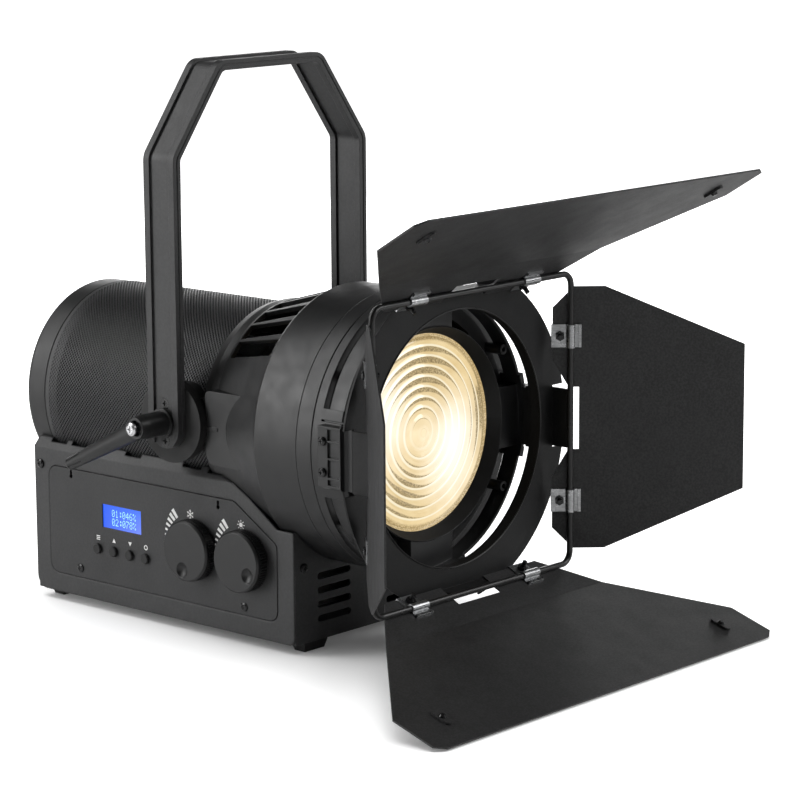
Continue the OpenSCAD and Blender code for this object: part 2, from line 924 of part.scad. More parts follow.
fan_y = carriage_y + carriage_t + 46;
fan_t = 20;

module fan_frame() {
    half = 40;
    color("#1c1c1c") from_hole() {
        difference() {
            box([-half, fan_y, -half], [half, fan_y + fan_t, half]);
            y_cyl(fan_y - 1, fan_y + fan_t + 1, 38);
        }
        for (a = [0 : 90 : 270])
            rotate([0, a + 45, 0]) box([0, fan_y + fan_t - 2.5, -1.5], [40, fan_y + fan_t, 1.5]);
        y_cyl(fan_y + fan_t - 2.5, fan_y + fan_t, 14);
        y_cyl(fan_y + 6, fan_y + fan_t - 1, 3);
    }
}

module fan_rotor() {
    color("#2a2a2a") from_hole()
    difference() {
        union() {
            y_cyl(fan_y + 1, fan_y + fan_t - 3.5, 15);
            for (a = [0 : 360 / 7 : 359])
                rotate([0, a, 0])
                    translate([25, fan_y + fan_t / 2 - 1.2, 0])
                        rotate([38, 0, 0]) cube([22, 1.4, 15], center = true);
        }
        y_cyl(fan_y + 5, fan_y + fan_t, 3 + gap);
        y_cyl(fan_y - 20, fan_y + 0.6, 60);
        y_cyl(fan_y + fan_t - 3.5, fan_y + fan_t + 20, 60);
    }
}

module focus_screw() {
    collar_r = 6;
    color("silver") from_hole()
    translate([0, 0, screw_z]) {
        y_cyl(-86, cap_rear_y + 8, focus_screw_r);
        y_cyl(-80.5, -78.5, collar_r);
        y_cyl(cap_front_y + 3, cap_front_y + 5.5, collar_r);
    }
}

module focus_knob() {
    flutes = 18;
    knob_y = cap_rear_y + 0.5;
    color("#1d1d1e") from_hole()
    translate([0, 0, screw_z])
        difference() {
            union() {
                y_cyl(knob_y, knob_y + 12.5, 10);
                y_cyl(knob_y + 12.5, knob_y + 13.5, 10, 9);
            }
            y_cyl(knob_y - 1, knob_y + 7.5, focus_screw_r);
            for (a = [0 : 360 / flutes : 359])
                rotate([0, a, 0]) translate([10.4, 0, 0]) y_cyl(knob_y + 2, knob_y + 15, 0.9);
        }
}

// ---------- yoke ----------

function yoke_line(inset) =
    let (
        x = yoke_half_w - inset,
        run = yoke_half_w - yoke_corner_x,
        rise = yoke_top_z - yoke_corner_z,
        slope = sqrt(run * run + rise * rise),
        z_side = yoke_corner_z - inset * (slope - rise) / run,
        x_top = yoke_corner_x - inset * (slope - run) / rise,
        r = yoke_bend_r - inset
    )
    rounded(
        [
            [-x, tilt_z - 40], [x, tilt_z - 40], [x, z_side],
            [x_top, yoke_top_z - inset], [-x_top, yoke_top_z - inset], [-x, z_side]
        ],
        [0, 0, r, r, r, r]
    );

// Bent strap between two insets from its outer face, over a width along Y
module strap_layer(inset_out, inset_in, y0, y1) {
    translate([0, y1, 0])
        rotate([90, 0, 0])
            linear_extrude(height = y1 - y0)
                difference() {
                    polygon(yoke_line(inset_out));
                    polygon(yoke_line(inset_in));
                    translate([-200, tilt_z - 41]) square([400, 2]);
                }
}

module yoke_bracket() {
    half = strap_w / 2;
    end_z = tilt_z - 3.5;
    web_in = (strap_t - web_t) / 2;
    web_face = yoke_half_w - web_in;
    color("#2f3032") from_hole()
    difference() {
        intersection() {
            union() {
                strap_layer(0, strap_t, -half, -half + bead_w);
                strap_layer(0, strap_t, half - bead_w, half);
                strap_layer(web_in, strap_t - web_in, -half, half);
                // flat pads where the discs sit
                both_sides()
                    box([-yoke_half_w + web_in, -half, end_z - half], [-arm_in_x, half, tilt_z + 20]);
            }
            union() {
                box([-200, -half - 1, end_z], [200, half + 1, 400]);
                translate([0, 0, end_z]) x_cyl(-200, 200, half);
            }
        }
        // groove along each edge bead
        for (y = [-half - 0.5, half - 0.5])
            strap_layer(strap_t / 2 - 0.7, strap_t / 2 + 0.7, y, y + 1);
        translate([0, 0, tilt_z]) x_cyl(-200, 200, spigot_r - 1);
        for (s = [-1, 1])
            translate([0, 0, tilt_z + s * yoke_screw_pitch / 2]) {
                x_cyl(-200, 200, 1.7);
                both_sides() x_cyl(-web_face - 0.5, -web_face + 2.3, 4.55, 1.75);
            }
        translate([0, 0, yoke_top_z - strap_t - 2]) cylinder(h = 20, r = hang_hole_r);
    }
}

module friction_discs() {
    color("#1d1e1f") from_hole()
    both_sides()
        translate([0, 0, tilt_z])
            difference() {
                union() {
                    x_cyl(-arm_in_x, -boss_x - 1.2, disc_r);
                    x_cyl(-boss_x - 1.2, -boss_x - 0.2, disc_r - 3);
                }
                x_cyl(-arm_in_x - 1, -boss_x + 1, spigot_r + gap);
                for (s = [-1, 1])
                    translate([0, 0, s * yoke_screw_pitch / 2]) x_cyl(-arm_in_x - 1, -boss_x - 2.5, 1.7);
            }
}

module yoke_screws() {
    web_face = yoke_half_w - (strap_t - web_t) / 2;
    color("#0f0f10") from_hole()
    both_sides()
        for (s = [-1, 1])
            translate([-web_face, 0, tilt_z + s * yoke_screw_pitch / 2])
                rotate([0, -90, 0]) flat_screw(4, 2.2, 1.65, 9);
}

module clamp_lever() {
    hub_r = 8;
    handle_l = 78;
    droop = -25.6;
    flute_l = 15;
    web_face = yoke_half_w - (strap_t - web_t) / 2;
    color("#161617") from_hole()
    translate([0, 0, tilt_z])
        difference() {
            union() {
                x_cyl(-yoke_half_w - 2, -yoke_half_w - 0.1, 9.6);
                x_cyl(-handle_x, -web_face - 0.1, hub_r);
                x_cyl(-hub_end, -handle_x, hub_r - 1, hub_r);
                x_cyl(-web_face - 1, -boss_x + 4, stud_r);
            }
            x_cyl(-hub_end - 1, -hub_end + 5, 5.2);
            x_cyl(-hub_end, -hub_end + 12, lever_screw_r + gap);
        }
    color("#3a3b3c") from_hole()
    translate([-handle_x, 0, tilt_z])
        rotate([droop, 0, 0])
            difference() {
                translate([0, 7, 0])
                    union() {
                        y_cyl(0, handle_l - 8.5, 6.4, 4.3);
                        y_cyl(handle_l - 8.5, handle_l - 7, 4.3, 3.2);
                    }
                for (a = [0 : 60 : 300])
                    rotate([0, a, 0])
                        translate([-0.6, handle_l - flute_l - 1, 3.9]) cube([1.2, flute_l - 1.5, 3]);
            }
}

module lever_screw() {
    color("#d2d3d4") from_hole()
    translate([-hub_end - 2.6, 0, tilt_z])
        rotate([0, -90, 0]) pan_screw(4.25, 2.2, lever_screw_r, 14);
}

module pivot_bolt() {
    web_face = yoke_half_w - (strap_t - web_t) / 2;
    color("#141415") from_hole()
    translate([0, 0, tilt_z]) {
        x_cyl(boss_x - 6, yoke_half_w + 2, stud_r);
        x_cyl(web_face + 0.1, yoke_half_w + 2, 8);
        x_cyl(yoke_half_w + 0.1, yoke_half_w + 2, 11.5);
        translate([yoke_half_w + 2, 0, 0])
            rotate([0, 90, 0]) cylinder(h = 6, r = 8.1, $fn = 6);
    }
}

// ---------- barndoor ----------

turn_ring_r = housing_r - 0.6;
rim_front_y = -163.9;
rim_rear_y = -162.4;

module barndoor_plate() {
    tab_x = hinge_d;
    front = plate_y - plate_t / 2;
    color("#1c1d1e") from_hole() {
        difference() {
            y_cyl(front, front + plate_t, plate_r);
            y_cyl(front - 1, front + plate_t + 1, plate_hole_r);
            quarter_turns()
                box([-tab_half - 1.2, front - 1, tab_x - plate_t / 2], [tab_half + 1.2, front + plate_t + 1, 130]);
        }
        quarter_turns()
            box([-tab_half, wire_y + wire_r - 0.3, tab_x - plate_t / 2],
                [tab_half, front + plate_t, tab_x + plate_t / 2]);
        quarter_turns()
            box([-tab_half, front, tab_x - 3], [tab_half, front + plate_t, tab_x]);
    }
}

module turn_ring() {
    neck_in_r = plate_hole_r + 0.6;
    neck_out_r = 85.2;
    color("#1a1a1b") from_hole()
    y_revolve([
        [neck_in_r, plate_y + plate_t / 2],
        [neck_out_r, plate_y + plate_t / 2],
        [neck_out_r, rim_front_y],
        [turn_ring_r, rim_front_y],
        [turn_ring_r, rim_rear_y],
        [neck_in_r, rim_rear_y]
    ]);
}

module wire_frame() {
    bend_r = 8;
    run = wire_side / 2 - bend_r;
    color("#1b1b1c") from_hole()
    translate([0, wire_y, 0])
        quarter_turns() {
            translate([-run, 0, hinge_d]) rotate([0, 90, 0]) cylinder(h = 2 * run, r = wire_r, $fn = 32);
            translate([run, 0, run])
                rotate([90, 0, 0])
                    rotate_extrude(angle = 90, $fn = 96)
                        translate([bend_r, 0]) circle(r = wire_r, $fn = 32);
        }
}

// Section through the creased sheet, in [n, v]
function creased_section() =
    let (
        tip_n = -outer_l * sin(crease),
        tip_v = crease_v + outer_l * cos(crease)
    )
    [
        [0, strip_v - 1],
        [0, crease_v],
        [tip_n, tip_v],
        [tip_n + leaf_t * cos(crease), tip_v + leaf_t * sin(crease)],
        [leaf_t, crease_v + leaf_t * tan(crease / 2)],
        [leaf_t, strip_v - 1]
    ];

// Right half of the large leaf's outline in [u, v], from the notch to the tip
function large_half_outline() = [
    [notch_half, notch_v],
    [notch_half, strip_v],
    [strip_half, strip_v],
    [hinge_half - 0.5, 1.7],
    [crease_half, crease_v],
    [large_half, crease_v + 62.5 * cos(crease)],
    [large_half, crease_v + 94.5 * cos(crease)],
    [large_half - 7.5, crease_v + 99.5 * cos(crease)]
];

// Whole outline from its right half
function mirrored_u(pts) = concat(
    pts,
    [for (i = [len(pts) - 1 : -1 : 0]) [-pts[i].x, pts[i].y]]
);

// Right half of the small leaf's outline in [u, v]
function small_half_outline() = [
    [notch_half, notch_v],
    [notch_half, -1],
    [notch_half + 18, strip_v],
    [strip_half, strip_v],
    [hinge_half, 2.2],
    [hinge_half, 22.4],
    [47.5, 112.5]
];

// Prism over an outline in [u, v], from n0 to n1
module leaf_prism(outline, n0, n1) {
    translate([0, n1, 0])
        rotate([90, 0, 0])
            linear_extrude(height = n1 - n0)
                polygon(outline);
}

module leaf_screw_holes() {
    for (s = [-1, 1])
        translate([s * clip_u, 0, screw_v]) y_cyl(-10, 10, 1.6);
}

module large_leaf(roll, open) {
    color("#202122") from_hole()
    difference() {
        leaf_frame(roll, open)
            difference() {
                intersection() {
                    translate([-large_half - 1, leaf_n, 0])
                        rotate([90, 0, 90])
                            linear_extrude(height = 2 * large_half + 2)
                                polygon(creased_section());
                    leaf_prism(mirrored_u(large_half_outline()), -40, 10);
                }
                leaf_screw_holes();
            }
        outer_panel_frame(roll, open)
            for (s = [-1, 1])
                translate([s * latch_u, 0, latch_v]) y_cyl(-5, 5, 1.3);
    }
}

module small_leaf_part(roll) {
    color("#202122") from_hole()
    leaf_frame(roll, side_open)
        difference() {
            leaf_prism(mirrored_u(small_half_outline()), leaf_n, leaf_n + leaf_t);
            leaf_screw_holes();
        }
}

// Section of the folded spring clip, in [n, v]: it hugs the strip's edge and wraps over the wire
module clip_section() {
    inner_r = wire_r + gap;
    outer_r = inner_r + clip_t;
    edge_v = strip_v - 0.02;
    near_n = leaf_n - 0.02;
    far_n = leaf_n + leaf_t + 0.02;
    landing_v = 7;
    difference() {
        union() {
            // saddle over the wire
            intersection() {
                circle(r = outer_r);
                translate([-5, -5]) square([6.2, 10]);
            }
            for (v = [-2.75, 1.9])
                translate([0.9, v]) square([near_n - 0.9, 0.85]);
            // inner leg, fold and outer leg
            translate([near_n - clip_t, edge_v]) square([clip_t, -2 - edge_v]);
            translate([near_n - clip_t, edge_v - clip_t]) square([far_n - near_n + 2 * clip_t, clip_t]);
            translate([far_n, edge_v - clip_t / 2]) square([clip_t, -2 - edge_v + clip_t / 2]);
            // landing on the leaf, with a hemmed end
            translate([near_n - clip_t, 1.9]) square([clip_t, landing_v - 1.9]);
            translate([near_n - 2 * clip_t, landing_v - 2]) square([2 * clip_t, 2]);
        }
        circle(r = inner_r);
    }
}

// One clip in the leaf's frame
module hinge_clip() {
    difference() {
        translate([-clip_w / 2, 0, 0])
            rotate([90, 0, 90])
                linear_extrude(height = clip_w)
                    clip_section();
        translate([0, 0, screw_v]) y_cyl(-10, 10, 1.6);
    }
}

module hinge_clips(roll, open) {
    color("#b8babb") from_hole()
    leaf_frame(roll, open)
        for (s = [-1, 1])
            translate([s * clip_u, 0, 0]) hinge_clip();
}

// Pan head on the outer side, nut and tail on the inner side
module leaf_screw() {
    head_n = leaf_n + leaf_t + clip_t + 0.02;
    nut_n = leaf_n - clip_t - 0.02;
    translate([0, head_n, screw_v])
        rotate([-90, 0, 0]) pan_screw(2.7, 1.8, 1.5, 9.2);
    translate([0, nut_n - 2.2, screw_v])
        rotate([-90, 0, 0]) cylinder(h = 2.2, r = 3.1, $fn = 6);
}

module latch_rivet() {
    translate([0, 0, latch_v]) {
        y_cyl(-2.4, leaf_t + 0.6, 1.25);
        y_cyl(leaf_t, leaf_t + 0.9, 2.4);
        y_cyl(-3.2, -1.8, 1.6, 2.4);
    }
}

module leaf_fasteners(roll, open, with_latches) {
    color("#101011") from_hole() {
        leaf_frame(roll, open)
            for (s = [-1, 1])
                translate([s * clip_u, 0, 0]) leaf_screw();
        if (with_latches)
            outer_panel_frame(roll, open)
                for (s = [-1, 1])
                    translate([s * latch_u, 0, 0]) latch_rivet();
    }
}

// Small oblong latch under the rivet, on the leaf's inner face
module latch(roll, open, side) {
    length = 15;
    width = 5.4;
    color("#161617") from_hole()
    outer_panel_frame(roll, open)
        translate([side * latch_u, -0.1, latch_v])
            rotate([90, 0, 0])
                difference() {
                    rotate([0, 0, 90])
                        linear_extrude(height = 1.6) slot_2d(length, width);
                    translate([0, 0, -1]) cylinder(h = 5, r = 1.25 + gap, $fn = 48);
                }
}

module leaf_top() {
    large_leaf(0, top_open);
}

module leaf_bottom() {
    large_leaf(180, bottom_open);
}

module leaf_left() {
    small_leaf_part(-90);
}

module leaf_right() {
    small_leaf_part(90);
}

base_tray();
side_cover_left();
side_cover_right();
control_plate();
display_window();
control_board();
power_supply();
power_inlet();
signal_sockets();
rubber_feet();
case_screws();
barrel_mesh();
rear_ring();
rear_cap();
front_housing();
front_ring();
fresnel_lens();
accessory_clips();
accessory_clip_screws();
guide_rods();
pivot_bolt();
carriage_plate();
heatsink();
light_module();
reflector();
fan_frame();
fan_rotor();
focus_screw();
focus_knob();
yoke_bracket();
friction_discs();
yoke_screws();
clamp_lever();
lever_screw();
cool_level_knob();
warm_level_knob();
push_button(0);  // button_menu
push_button(1);  // button_up
push_button(2);  // button_down
push_button(3);  // button_enter
barndoor_plate();
turn_ring();
wire_frame();
leaf_top();
leaf_bottom();
leaf_left();
leaf_right();
hinge_clips(0, top_open);  // hinge_clips_top
hinge_clips(180, bottom_open);  // hinge_clips_bottom
hinge_clips(-90, side_open);  // hinge_clips_left
hinge_clips(90, side_open);  // hinge_clips_right
leaf_fasteners(0, top_open, true);  // leaf_fasteners_top
leaf_fasteners(180, bottom_open, true);  // leaf_fasteners_bottom
leaf_fasteners(-90, side_open, false);  // leaf_fasteners_left
leaf_fasteners(90, side_open, false);  // leaf_fasteners_right
latch(0, top_open, -1);  // latch_top_left
latch(0, top_open, 1);  // latch_top_right
latch(180, bottom_open, 1);  // latch_bottom_left
latch(180, bottom_open, -1);  // latch_bottom_right
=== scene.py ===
"""Looks for the fresnel spotlight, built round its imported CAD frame. Lengths are in metres."""
import json
import math

import bpy
import numpy as np
from mathutils import Matrix, Vector


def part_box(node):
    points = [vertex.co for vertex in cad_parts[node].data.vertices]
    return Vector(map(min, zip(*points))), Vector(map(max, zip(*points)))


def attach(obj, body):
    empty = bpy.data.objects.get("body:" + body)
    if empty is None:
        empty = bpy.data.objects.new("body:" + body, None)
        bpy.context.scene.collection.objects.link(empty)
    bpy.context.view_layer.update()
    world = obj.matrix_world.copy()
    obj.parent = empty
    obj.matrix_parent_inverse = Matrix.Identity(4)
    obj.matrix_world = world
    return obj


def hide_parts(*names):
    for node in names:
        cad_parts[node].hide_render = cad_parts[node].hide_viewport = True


MM = 0.001
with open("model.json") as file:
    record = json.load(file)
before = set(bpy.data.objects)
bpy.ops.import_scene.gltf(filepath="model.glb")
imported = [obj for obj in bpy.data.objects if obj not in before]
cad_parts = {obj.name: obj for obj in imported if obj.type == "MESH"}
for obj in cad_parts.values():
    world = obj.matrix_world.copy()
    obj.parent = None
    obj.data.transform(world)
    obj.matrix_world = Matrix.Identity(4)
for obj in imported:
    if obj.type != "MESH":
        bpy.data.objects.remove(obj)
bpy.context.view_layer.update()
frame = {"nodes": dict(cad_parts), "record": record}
NODES = frame["nodes"]

# ---------------------------------------------------------------- materials

DRIFT_MM = 60.0      # size of the slow tone changes in painted sheet
RIM_MM = 59.2        # radius at which the lens's dull rim starts


class Tree:
    """A material's node tree, with short calls for the nodes used here."""

    def __init__(self, name):
        self.mat = bpy.data.materials.new(name)
        self.mat.use_nodes = True
        self.nt = self.mat.node_tree
        self.nt.nodes.clear()
        self.out = self.node("ShaderNodeOutputMaterial")
        self.place = self.node("ShaderNodeTexCoord").outputs["Object"]

    def node(self, kind, **values):
        n = self.nt.nodes.new(kind)
        for key, value in values.items():
            if key in n.inputs:
                self.feed(n.inputs[key], value)
            else:
                setattr(n, key, value)
        return n

    def feed(self, socket, value):
        if isinstance(value, bpy.types.NodeSocket):
            self.nt.links.new(value, socket)
        elif isinstance(value, bpy.types.Node):
            self.nt.links.new(value.outputs[0], socket)
        else:
            socket.default_value = value

    def noise(self, size_mm, detail=2.0, rough=0.5, stretch=None):
        """Noise whose features are about size_mm across; stretch scales the coordinates first."""
        src = self.place
        if stretch:
            src = self.node("ShaderNodeMapping", Vector=src, Scale=stretch).outputs[0]
        n = self.node("ShaderNodeTexNoise", Vector=src, Detail=detail, Roughness=rough)
        n.inputs["Scale"].default_value = 1000.0 / size_mm
        return n.outputs["Fac"]

    def ramp(self, fac, stops, colour=True):
        """Colour ramp with (position, value) stops."""
        r = self.node("ShaderNodeValToRGB", Fac=fac)
        els = r.color_ramp.elements
        while len(els) < len(stops):
            els.new(0.5)
        for el, (pos, val) in zip(els, stops):
            el.position = pos
            el.color = (*val, 1) if colour else (val, val, val, 1)
        return r.outputs["Color"]

    def mix(self, fac, a, b):
        m = self.node("ShaderNodeMix", data_type="RGBA")
        self.feed(m.inputs[0], fac)
        self.feed(m.inputs[6], a if isinstance(a, bpy.types.NodeSocket) else (*a, 1))
        self.feed(m.inputs[7], b if isinstance(b, bpy.types.NodeSocket) else (*b, 1))
        return m.outputs[2]

    def math(self, op, a, b=0.0, clamp=False):
        m = self.node("ShaderNodeMath", operation=op, use_clamp=clamp)
        self.feed(m.inputs[0], a)
        self.feed(m.inputs[1], b)
        return m.outputs[0]

    def bump(self, height, strength, depth_mm, normal=None):
        b = self.node("ShaderNodeBump", Height=height, Strength=strength, Distance=depth_mm * MM)
        if normal is not None:
            self.feed(b.inputs["Normal"], normal)
        return b.outputs[0]

    def edges(self, radius_mm):
        """(rounded normal, 0..1 mask of convex and concave edges)."""
        bev = self.node("ShaderNodeBevel", samples=4)
        bev.inputs["Radius"].default_value = radius_mm * MM
        geo = self.node("ShaderNodeNewGeometry")
        dot = self.node("ShaderNodeVectorMath", operation="DOT_PRODUCT")
        self.feed(dot.inputs[0], bev.outputs[0])
        self.feed(dot.inputs[1], geo.outputs["Normal"])
        mask = self.math("SUBTRACT", 1.0, dot.outputs["Value"])
        return bev.outputs[0], self.math("MULTIPLY", mask, 3.0, clamp=True)

    def axes(self):
        """X, Y and Z sockets of the object coordinates."""
        return self.node("ShaderNodeSeparateXYZ", Vector=self.place).outputs

    def blob(self, u, v, at, spread):
        """1 at a point of the (u, v) plane, falling to 0 as a bell curve with the given spreads."""
        a = self.math("DIVIDE", self.math("SUBTRACT", u, at[0]), spread[0])
        b = self.math("DIVIDE", self.math("SUBTRACT", v, at[1]), spread[1])
        total = self.math("ADD", self.math("MULTIPLY", a, a), self.math("MULTIPLY", b, b))
        return self.math("EXPONENT", self.math("MULTIPLY", total, -1.0))

    def band(self, value, low, high, soft):
        """1 while value is between low and high, with soft edges."""
        up = self.node("ShaderNodeMapRange", interpolation_type="SMOOTHSTEP")
        down = self.node("ShaderNodeMapRange", interpolation_type="SMOOTHSTEP")
        for n, a, b in ((up, low - soft, low + soft), (down, high + soft, high - soft)):
            self.feed(n.inputs["Value"], value)
            n.inputs["From Min"].default_value = a
            n.inputs["From Max"].default_value = b
        return self.math("MULTIPLY", up.outputs[0], down.outputs[0])

    def surface(self, **values):
        p = self.node("ShaderNodeBsdfPrincipled", **values)
        self.feed(self.out.inputs["Surface"], p.outputs[0])
        return p


def scaled(colour, factor, lift=0.0):
    """A colour made lighter or darker, never over 1."""
    return tuple(min(1, c * factor + lift) for c in colour)


def coated_metal(name, dark, light, rough, grain_mm, grain_depth, wear=0.35, edge_mm=0.5,
                 speckle=0.2, sheen=0.5):
    """Painted sheet: fine orange-peel grain, slow tone drift, edges rubbed a little lighter."""
    t = Tree(name)
    normal, edge = t.edges(edge_mm)
    grain = t.noise(grain_mm, 3.0, 0.55)
    drift = t.noise(DRIFT_MM, 3.0, 0.5)
    tone = t.ramp(drift, [(0.3, dark), (0.72, light)])
    speck = t.ramp(t.noise(grain_mm * 2.4, 1.0), [(0.36, scaled(dark, 0.45)), (0.66, scaled(light, 1.35))])
    tone = t.mix(speckle, tone, speck)
    rub = t.math("MULTIPLY", edge, t.ramp(t.noise(4.0, 4.0, 0.65), [(0.42, 0.0), (0.68, 1.0)], False))
    tone = t.mix(t.math("MULTIPLY", rub, wear), tone, scaled(light, 3.0, 0.05))
    shine = t.ramp(t.noise(DRIFT_MM * 0.3, 4.0, 0.6), [(0.25, rough - 0.05), (0.75, rough + 0.07)], False)
    t.surface(**{"Base Color": tone, "Roughness": shine, "Specular IOR Level": sheen,
                 "Normal": t.bump(grain, 0.6, grain_depth, normal)})
    return t.mat


def moulded(name, dark, light, rough, edge_mm=0.6, grain_depth=0.03, wear=0.15):
    """Moulded black housing: spark-eroded texture, faint flow marks, slightly shinier edges."""
    t = Tree(name)
    normal, edge = t.edges(edge_mm)
    grain = t.noise(0.55, 4.0, 0.6)
    flow = t.noise(26.0, 3.0, 0.5, stretch=(1.0, 0.35, 1.0))
    tone = t.mix(t.math("MULTIPLY", edge, wear), t.ramp(flow, [(0.3, dark), (0.75, light)]),
                 scaled(light, 2.2, 0.02))
    shine = t.math("SUBTRACT", t.ramp(t.noise(9.0, 3.0), [(0.3, rough - 0.04), (0.7, rough + 0.06)], False),
                   t.math("MULTIPLY", edge, 0.12))
    t.surface(**{"Base Color": tone, "Roughness": shine, "Specular IOR Level": 0.5,
                 "Normal": t.bump(grain, 0.5, grain_depth, normal)})
    return t.mat


def bare_metal(name, dark, light, rough, along=(1.0, 1.0, 1.0), grain_mm=0.5, spangle=0.0, edge_mm=0.25):
    """Bright metal with fine drawn grain and, for galvanised sheet, soft crystal spangle."""
    t = Tree(name)
    normal, edge = t.edges(edge_mm)
    grain = t.noise(grain_mm, 3.0, 0.6, stretch=along)
    tone = t.ramp(grain, [(0.3, dark), (0.7, light)])
    if spangle:
        cells = t.node("ShaderNodeTexVoronoi", Vector=t.place)
        cells.inputs["Scale"].default_value = 1000.0 / spangle
        tone = t.mix(0.35, tone, t.ramp(cells.outputs["Color"], [(0.2, dark), (0.8, light)]))
    tone = t.mix(t.math("MULTIPLY", edge, 0.5), tone, scaled(light, 1.3))
    shine = t.ramp(t.noise(3.0, 3.0), [(0.3, rough - 0.06), (0.7, rough + 0.08)], False)
    t.surface(**{"Base Color": tone, "Metallic": 1.0, "Roughness": shine,
                 "Normal": t.bump(grain, 0.25, 0.02, normal)})
    return t.mat


def plastic_print(name, tone, rough=0.5, glow=0.0):
    """Thin ink or a lit segment: a slight mottle, a bump of its own and a glow; on ink the glow is painted
    light.
    """
    t = Tree(name)
    mottle = t.noise(0.8, 3.0, 0.6)
    colour = t.ramp(mottle, [(0.3, scaled(tone, 0.86)), (0.7, tone)])
    t.surface(**{"Base Color": colour, "Roughness": rough, "Emission Color": colour,
                 "Emission Strength": glow, "Normal": t.bump(mottle, 0.3, 0.01)})
    return t.mat


def lens_material(name, centre_z, bull_mm, pitch_mm):
    """Lit stepped lens: bright ring edges, stippled crescents above and below, a warm rim."""
    t = Tree(name)
    x, _, z = t.axes()
    u = t.math("MULTIPLY", x, 1000.0)
    v = t.math("MULTIPLY", t.math("SUBTRACT", z, centre_z), 1000.0)
    r = t.math("SQRT", t.math("ADD", t.math("MULTIPLY", u, u), t.math("MULTIPLY", v, v)))
    phase = t.math("FRACT", t.math("DIVIDE", t.math("SUBTRACT", r, bull_mm - 0.5 * pitch_mm), pitch_mm))
    grain = t.noise(0.9, 2.0, 0.7)
    stipple = t.ramp(grain, [(0.40, 0.0), (0.56, 1.0)], False)
    # crescents: dark stippled parts of the steps, at the top, at the lower left and at one side
    high = t.blob(u, v, (4.0, 40.0), (27.0, 23.0))
    low = t.math("MULTIPLY", t.blob(u, v, (-17.0, -36.0), (19.0, 17.0)), 0.85)
    side = t.blob(u, v, (56.0, 8.0), (8.0, 30.0))
    where = t.math("ADD", t.math("ADD", high, low), side, clamp=True)
    depth = t.math("SUBTRACT", t.math("ADD", phase, t.math("MULTIPLY", where, 0.72)), 1.0)
    step = t.ramp(depth, [(0.0, 0.0), (0.10, 1.0)], False)
    dark = t.math("MULTIPLY", step, t.math("ADD", 0.32, t.math("MULTIPLY", stipple, 0.5)))
    # white-hot parts, streaked along the rings
    left = t.blob(u, v, (-37.0, 15.0), (19.0, 26.0))
    right = t.blob(u, v, (27.0, -20.0), (21.0, 26.0))
    hot = t.math("ADD", left, right)
    hot = t.math("ADD", hot, t.math("MULTIPLY", t.blob(u, v, (34.0, 0.0), (14.0, 18.0)), 0.6))
    streak = t.math("ADD", 0.72, t.math("MULTIPLY", t.band(phase, 0.0, 0.35, 0.15), 0.5))
    hot = t.math("MULTIPLY", hot, streak, clamp=True)
    line = t.math("MULTIPLY", t.band(phase, 0.02, 0.22, 0.06), t.band(r, bull_mm - 2, 61.5, 1.0))
    bull = t.math("MULTIPLY", t.band(r, -5.0, bull_mm, 0.8), 0.45)
    rim = t.band(r, RIM_MM, 70.0, 1.2)
    cream = t.ramp(t.noise(14.0, 2.0), [(0.3, (0.82, 0.62, 0.31)), (0.7, (0.96, 0.77, 0.44))])
    tone = t.mix(t.math("MULTIPLY", where, 0.35), cream, (0.52, 0.37, 0.16))
    tone = t.mix(t.math("MULTIPLY", line, 0.8), tone, (1.0, 0.92, 0.70))
    tone = t.mix(bull, tone, (0.97, 0.80, 0.50))
    tone = t.mix(hot, tone, (1.25, 1.2, 1.08))
    tone = t.mix(dark, tone, (0.17, 0.12, 0.05))
    dull = t.math("MULTIPLY", rim, t.math("ADD", 0.3, t.math("MULTIPLY", stipple, 0.5)))
    tone = t.mix(dull, tone, (0.30, 0.20, 0.07))
    # full brightness to the camera only, so that the glow doesn't tint the parts round it
    camera = t.node("ShaderNodeLightPath").outputs["Is Camera Ray"]
    glow = t.math("ADD", 0.15, t.math("MULTIPLY", camera, 0.85))
    t.surface(**{"Base Color": (0.03, 0.03, 0.03, 1), "Roughness": 0.12, "Coat Weight": 0.2,
                 "Emission Color": tone, "Emission Strength": glow, "Normal": t.bump(grain, 0.15, 0.02)})
    return t.mat


def display_material(name, low, high):
    """Backlit blue display: brighter towards one side, with a faint dot grid."""
    t = Tree(name)
    _, y, z = t.axes()
    across = t.math("DIVIDE", t.math("SUBTRACT", high.y, y), high.y - low.y)
    down = t.math("DIVIDE", t.math("SUBTRACT", high.z, z), high.z - low.z)
    tone = t.mix(across, (0.006, 0.095, 0.86), (0.05, 0.18, 0.95))
    tone = t.mix(t.math("MULTIPLY", t.math("MULTIPLY", across, down), 0.5), tone, (0.30, 0.34, 1.0))
    cells = t.node("ShaderNodeTexVoronoi", Vector=t.place, feature="DISTANCE_TO_EDGE")
    cells.inputs["Scale"].default_value = 1900.0
    grid = t.ramp(cells.outputs["Distance"], [(0.0, 0.90), (0.08, 1.0)], False)
    t.surface(**{"Base Color": (0.01, 0.03, 0.2, 1), "Roughness": 0.08, "Emission Color": tone,
                 "Emission Strength": t.math("MULTIPLY", grid, 0.95),
                 "Normal": t.bump(t.noise(6.0), 0.1, 0.01)})
    return t.mat


def board_material(name):
    """Green circuit board with a brick pattern of tracks."""
    t = Tree(name)
    tracks = t.node("ShaderNodeTexBrick", Vector=t.place)
    tracks.inputs["Scale"].default_value = 220.0
    copper = t.ramp(tracks.outputs["Fac"], [(0.4, 0.0), (0.6, 1.0)], False)
    tone = t.mix(copper, (0.012, 0.085, 0.03), (0.03, 0.17, 0.06))
    t.surface(**{"Base Color": tone, "Roughness": 0.35, "Normal": t.bump(tracks.outputs["Fac"], 0.3, 0.03)})
    return t.mat


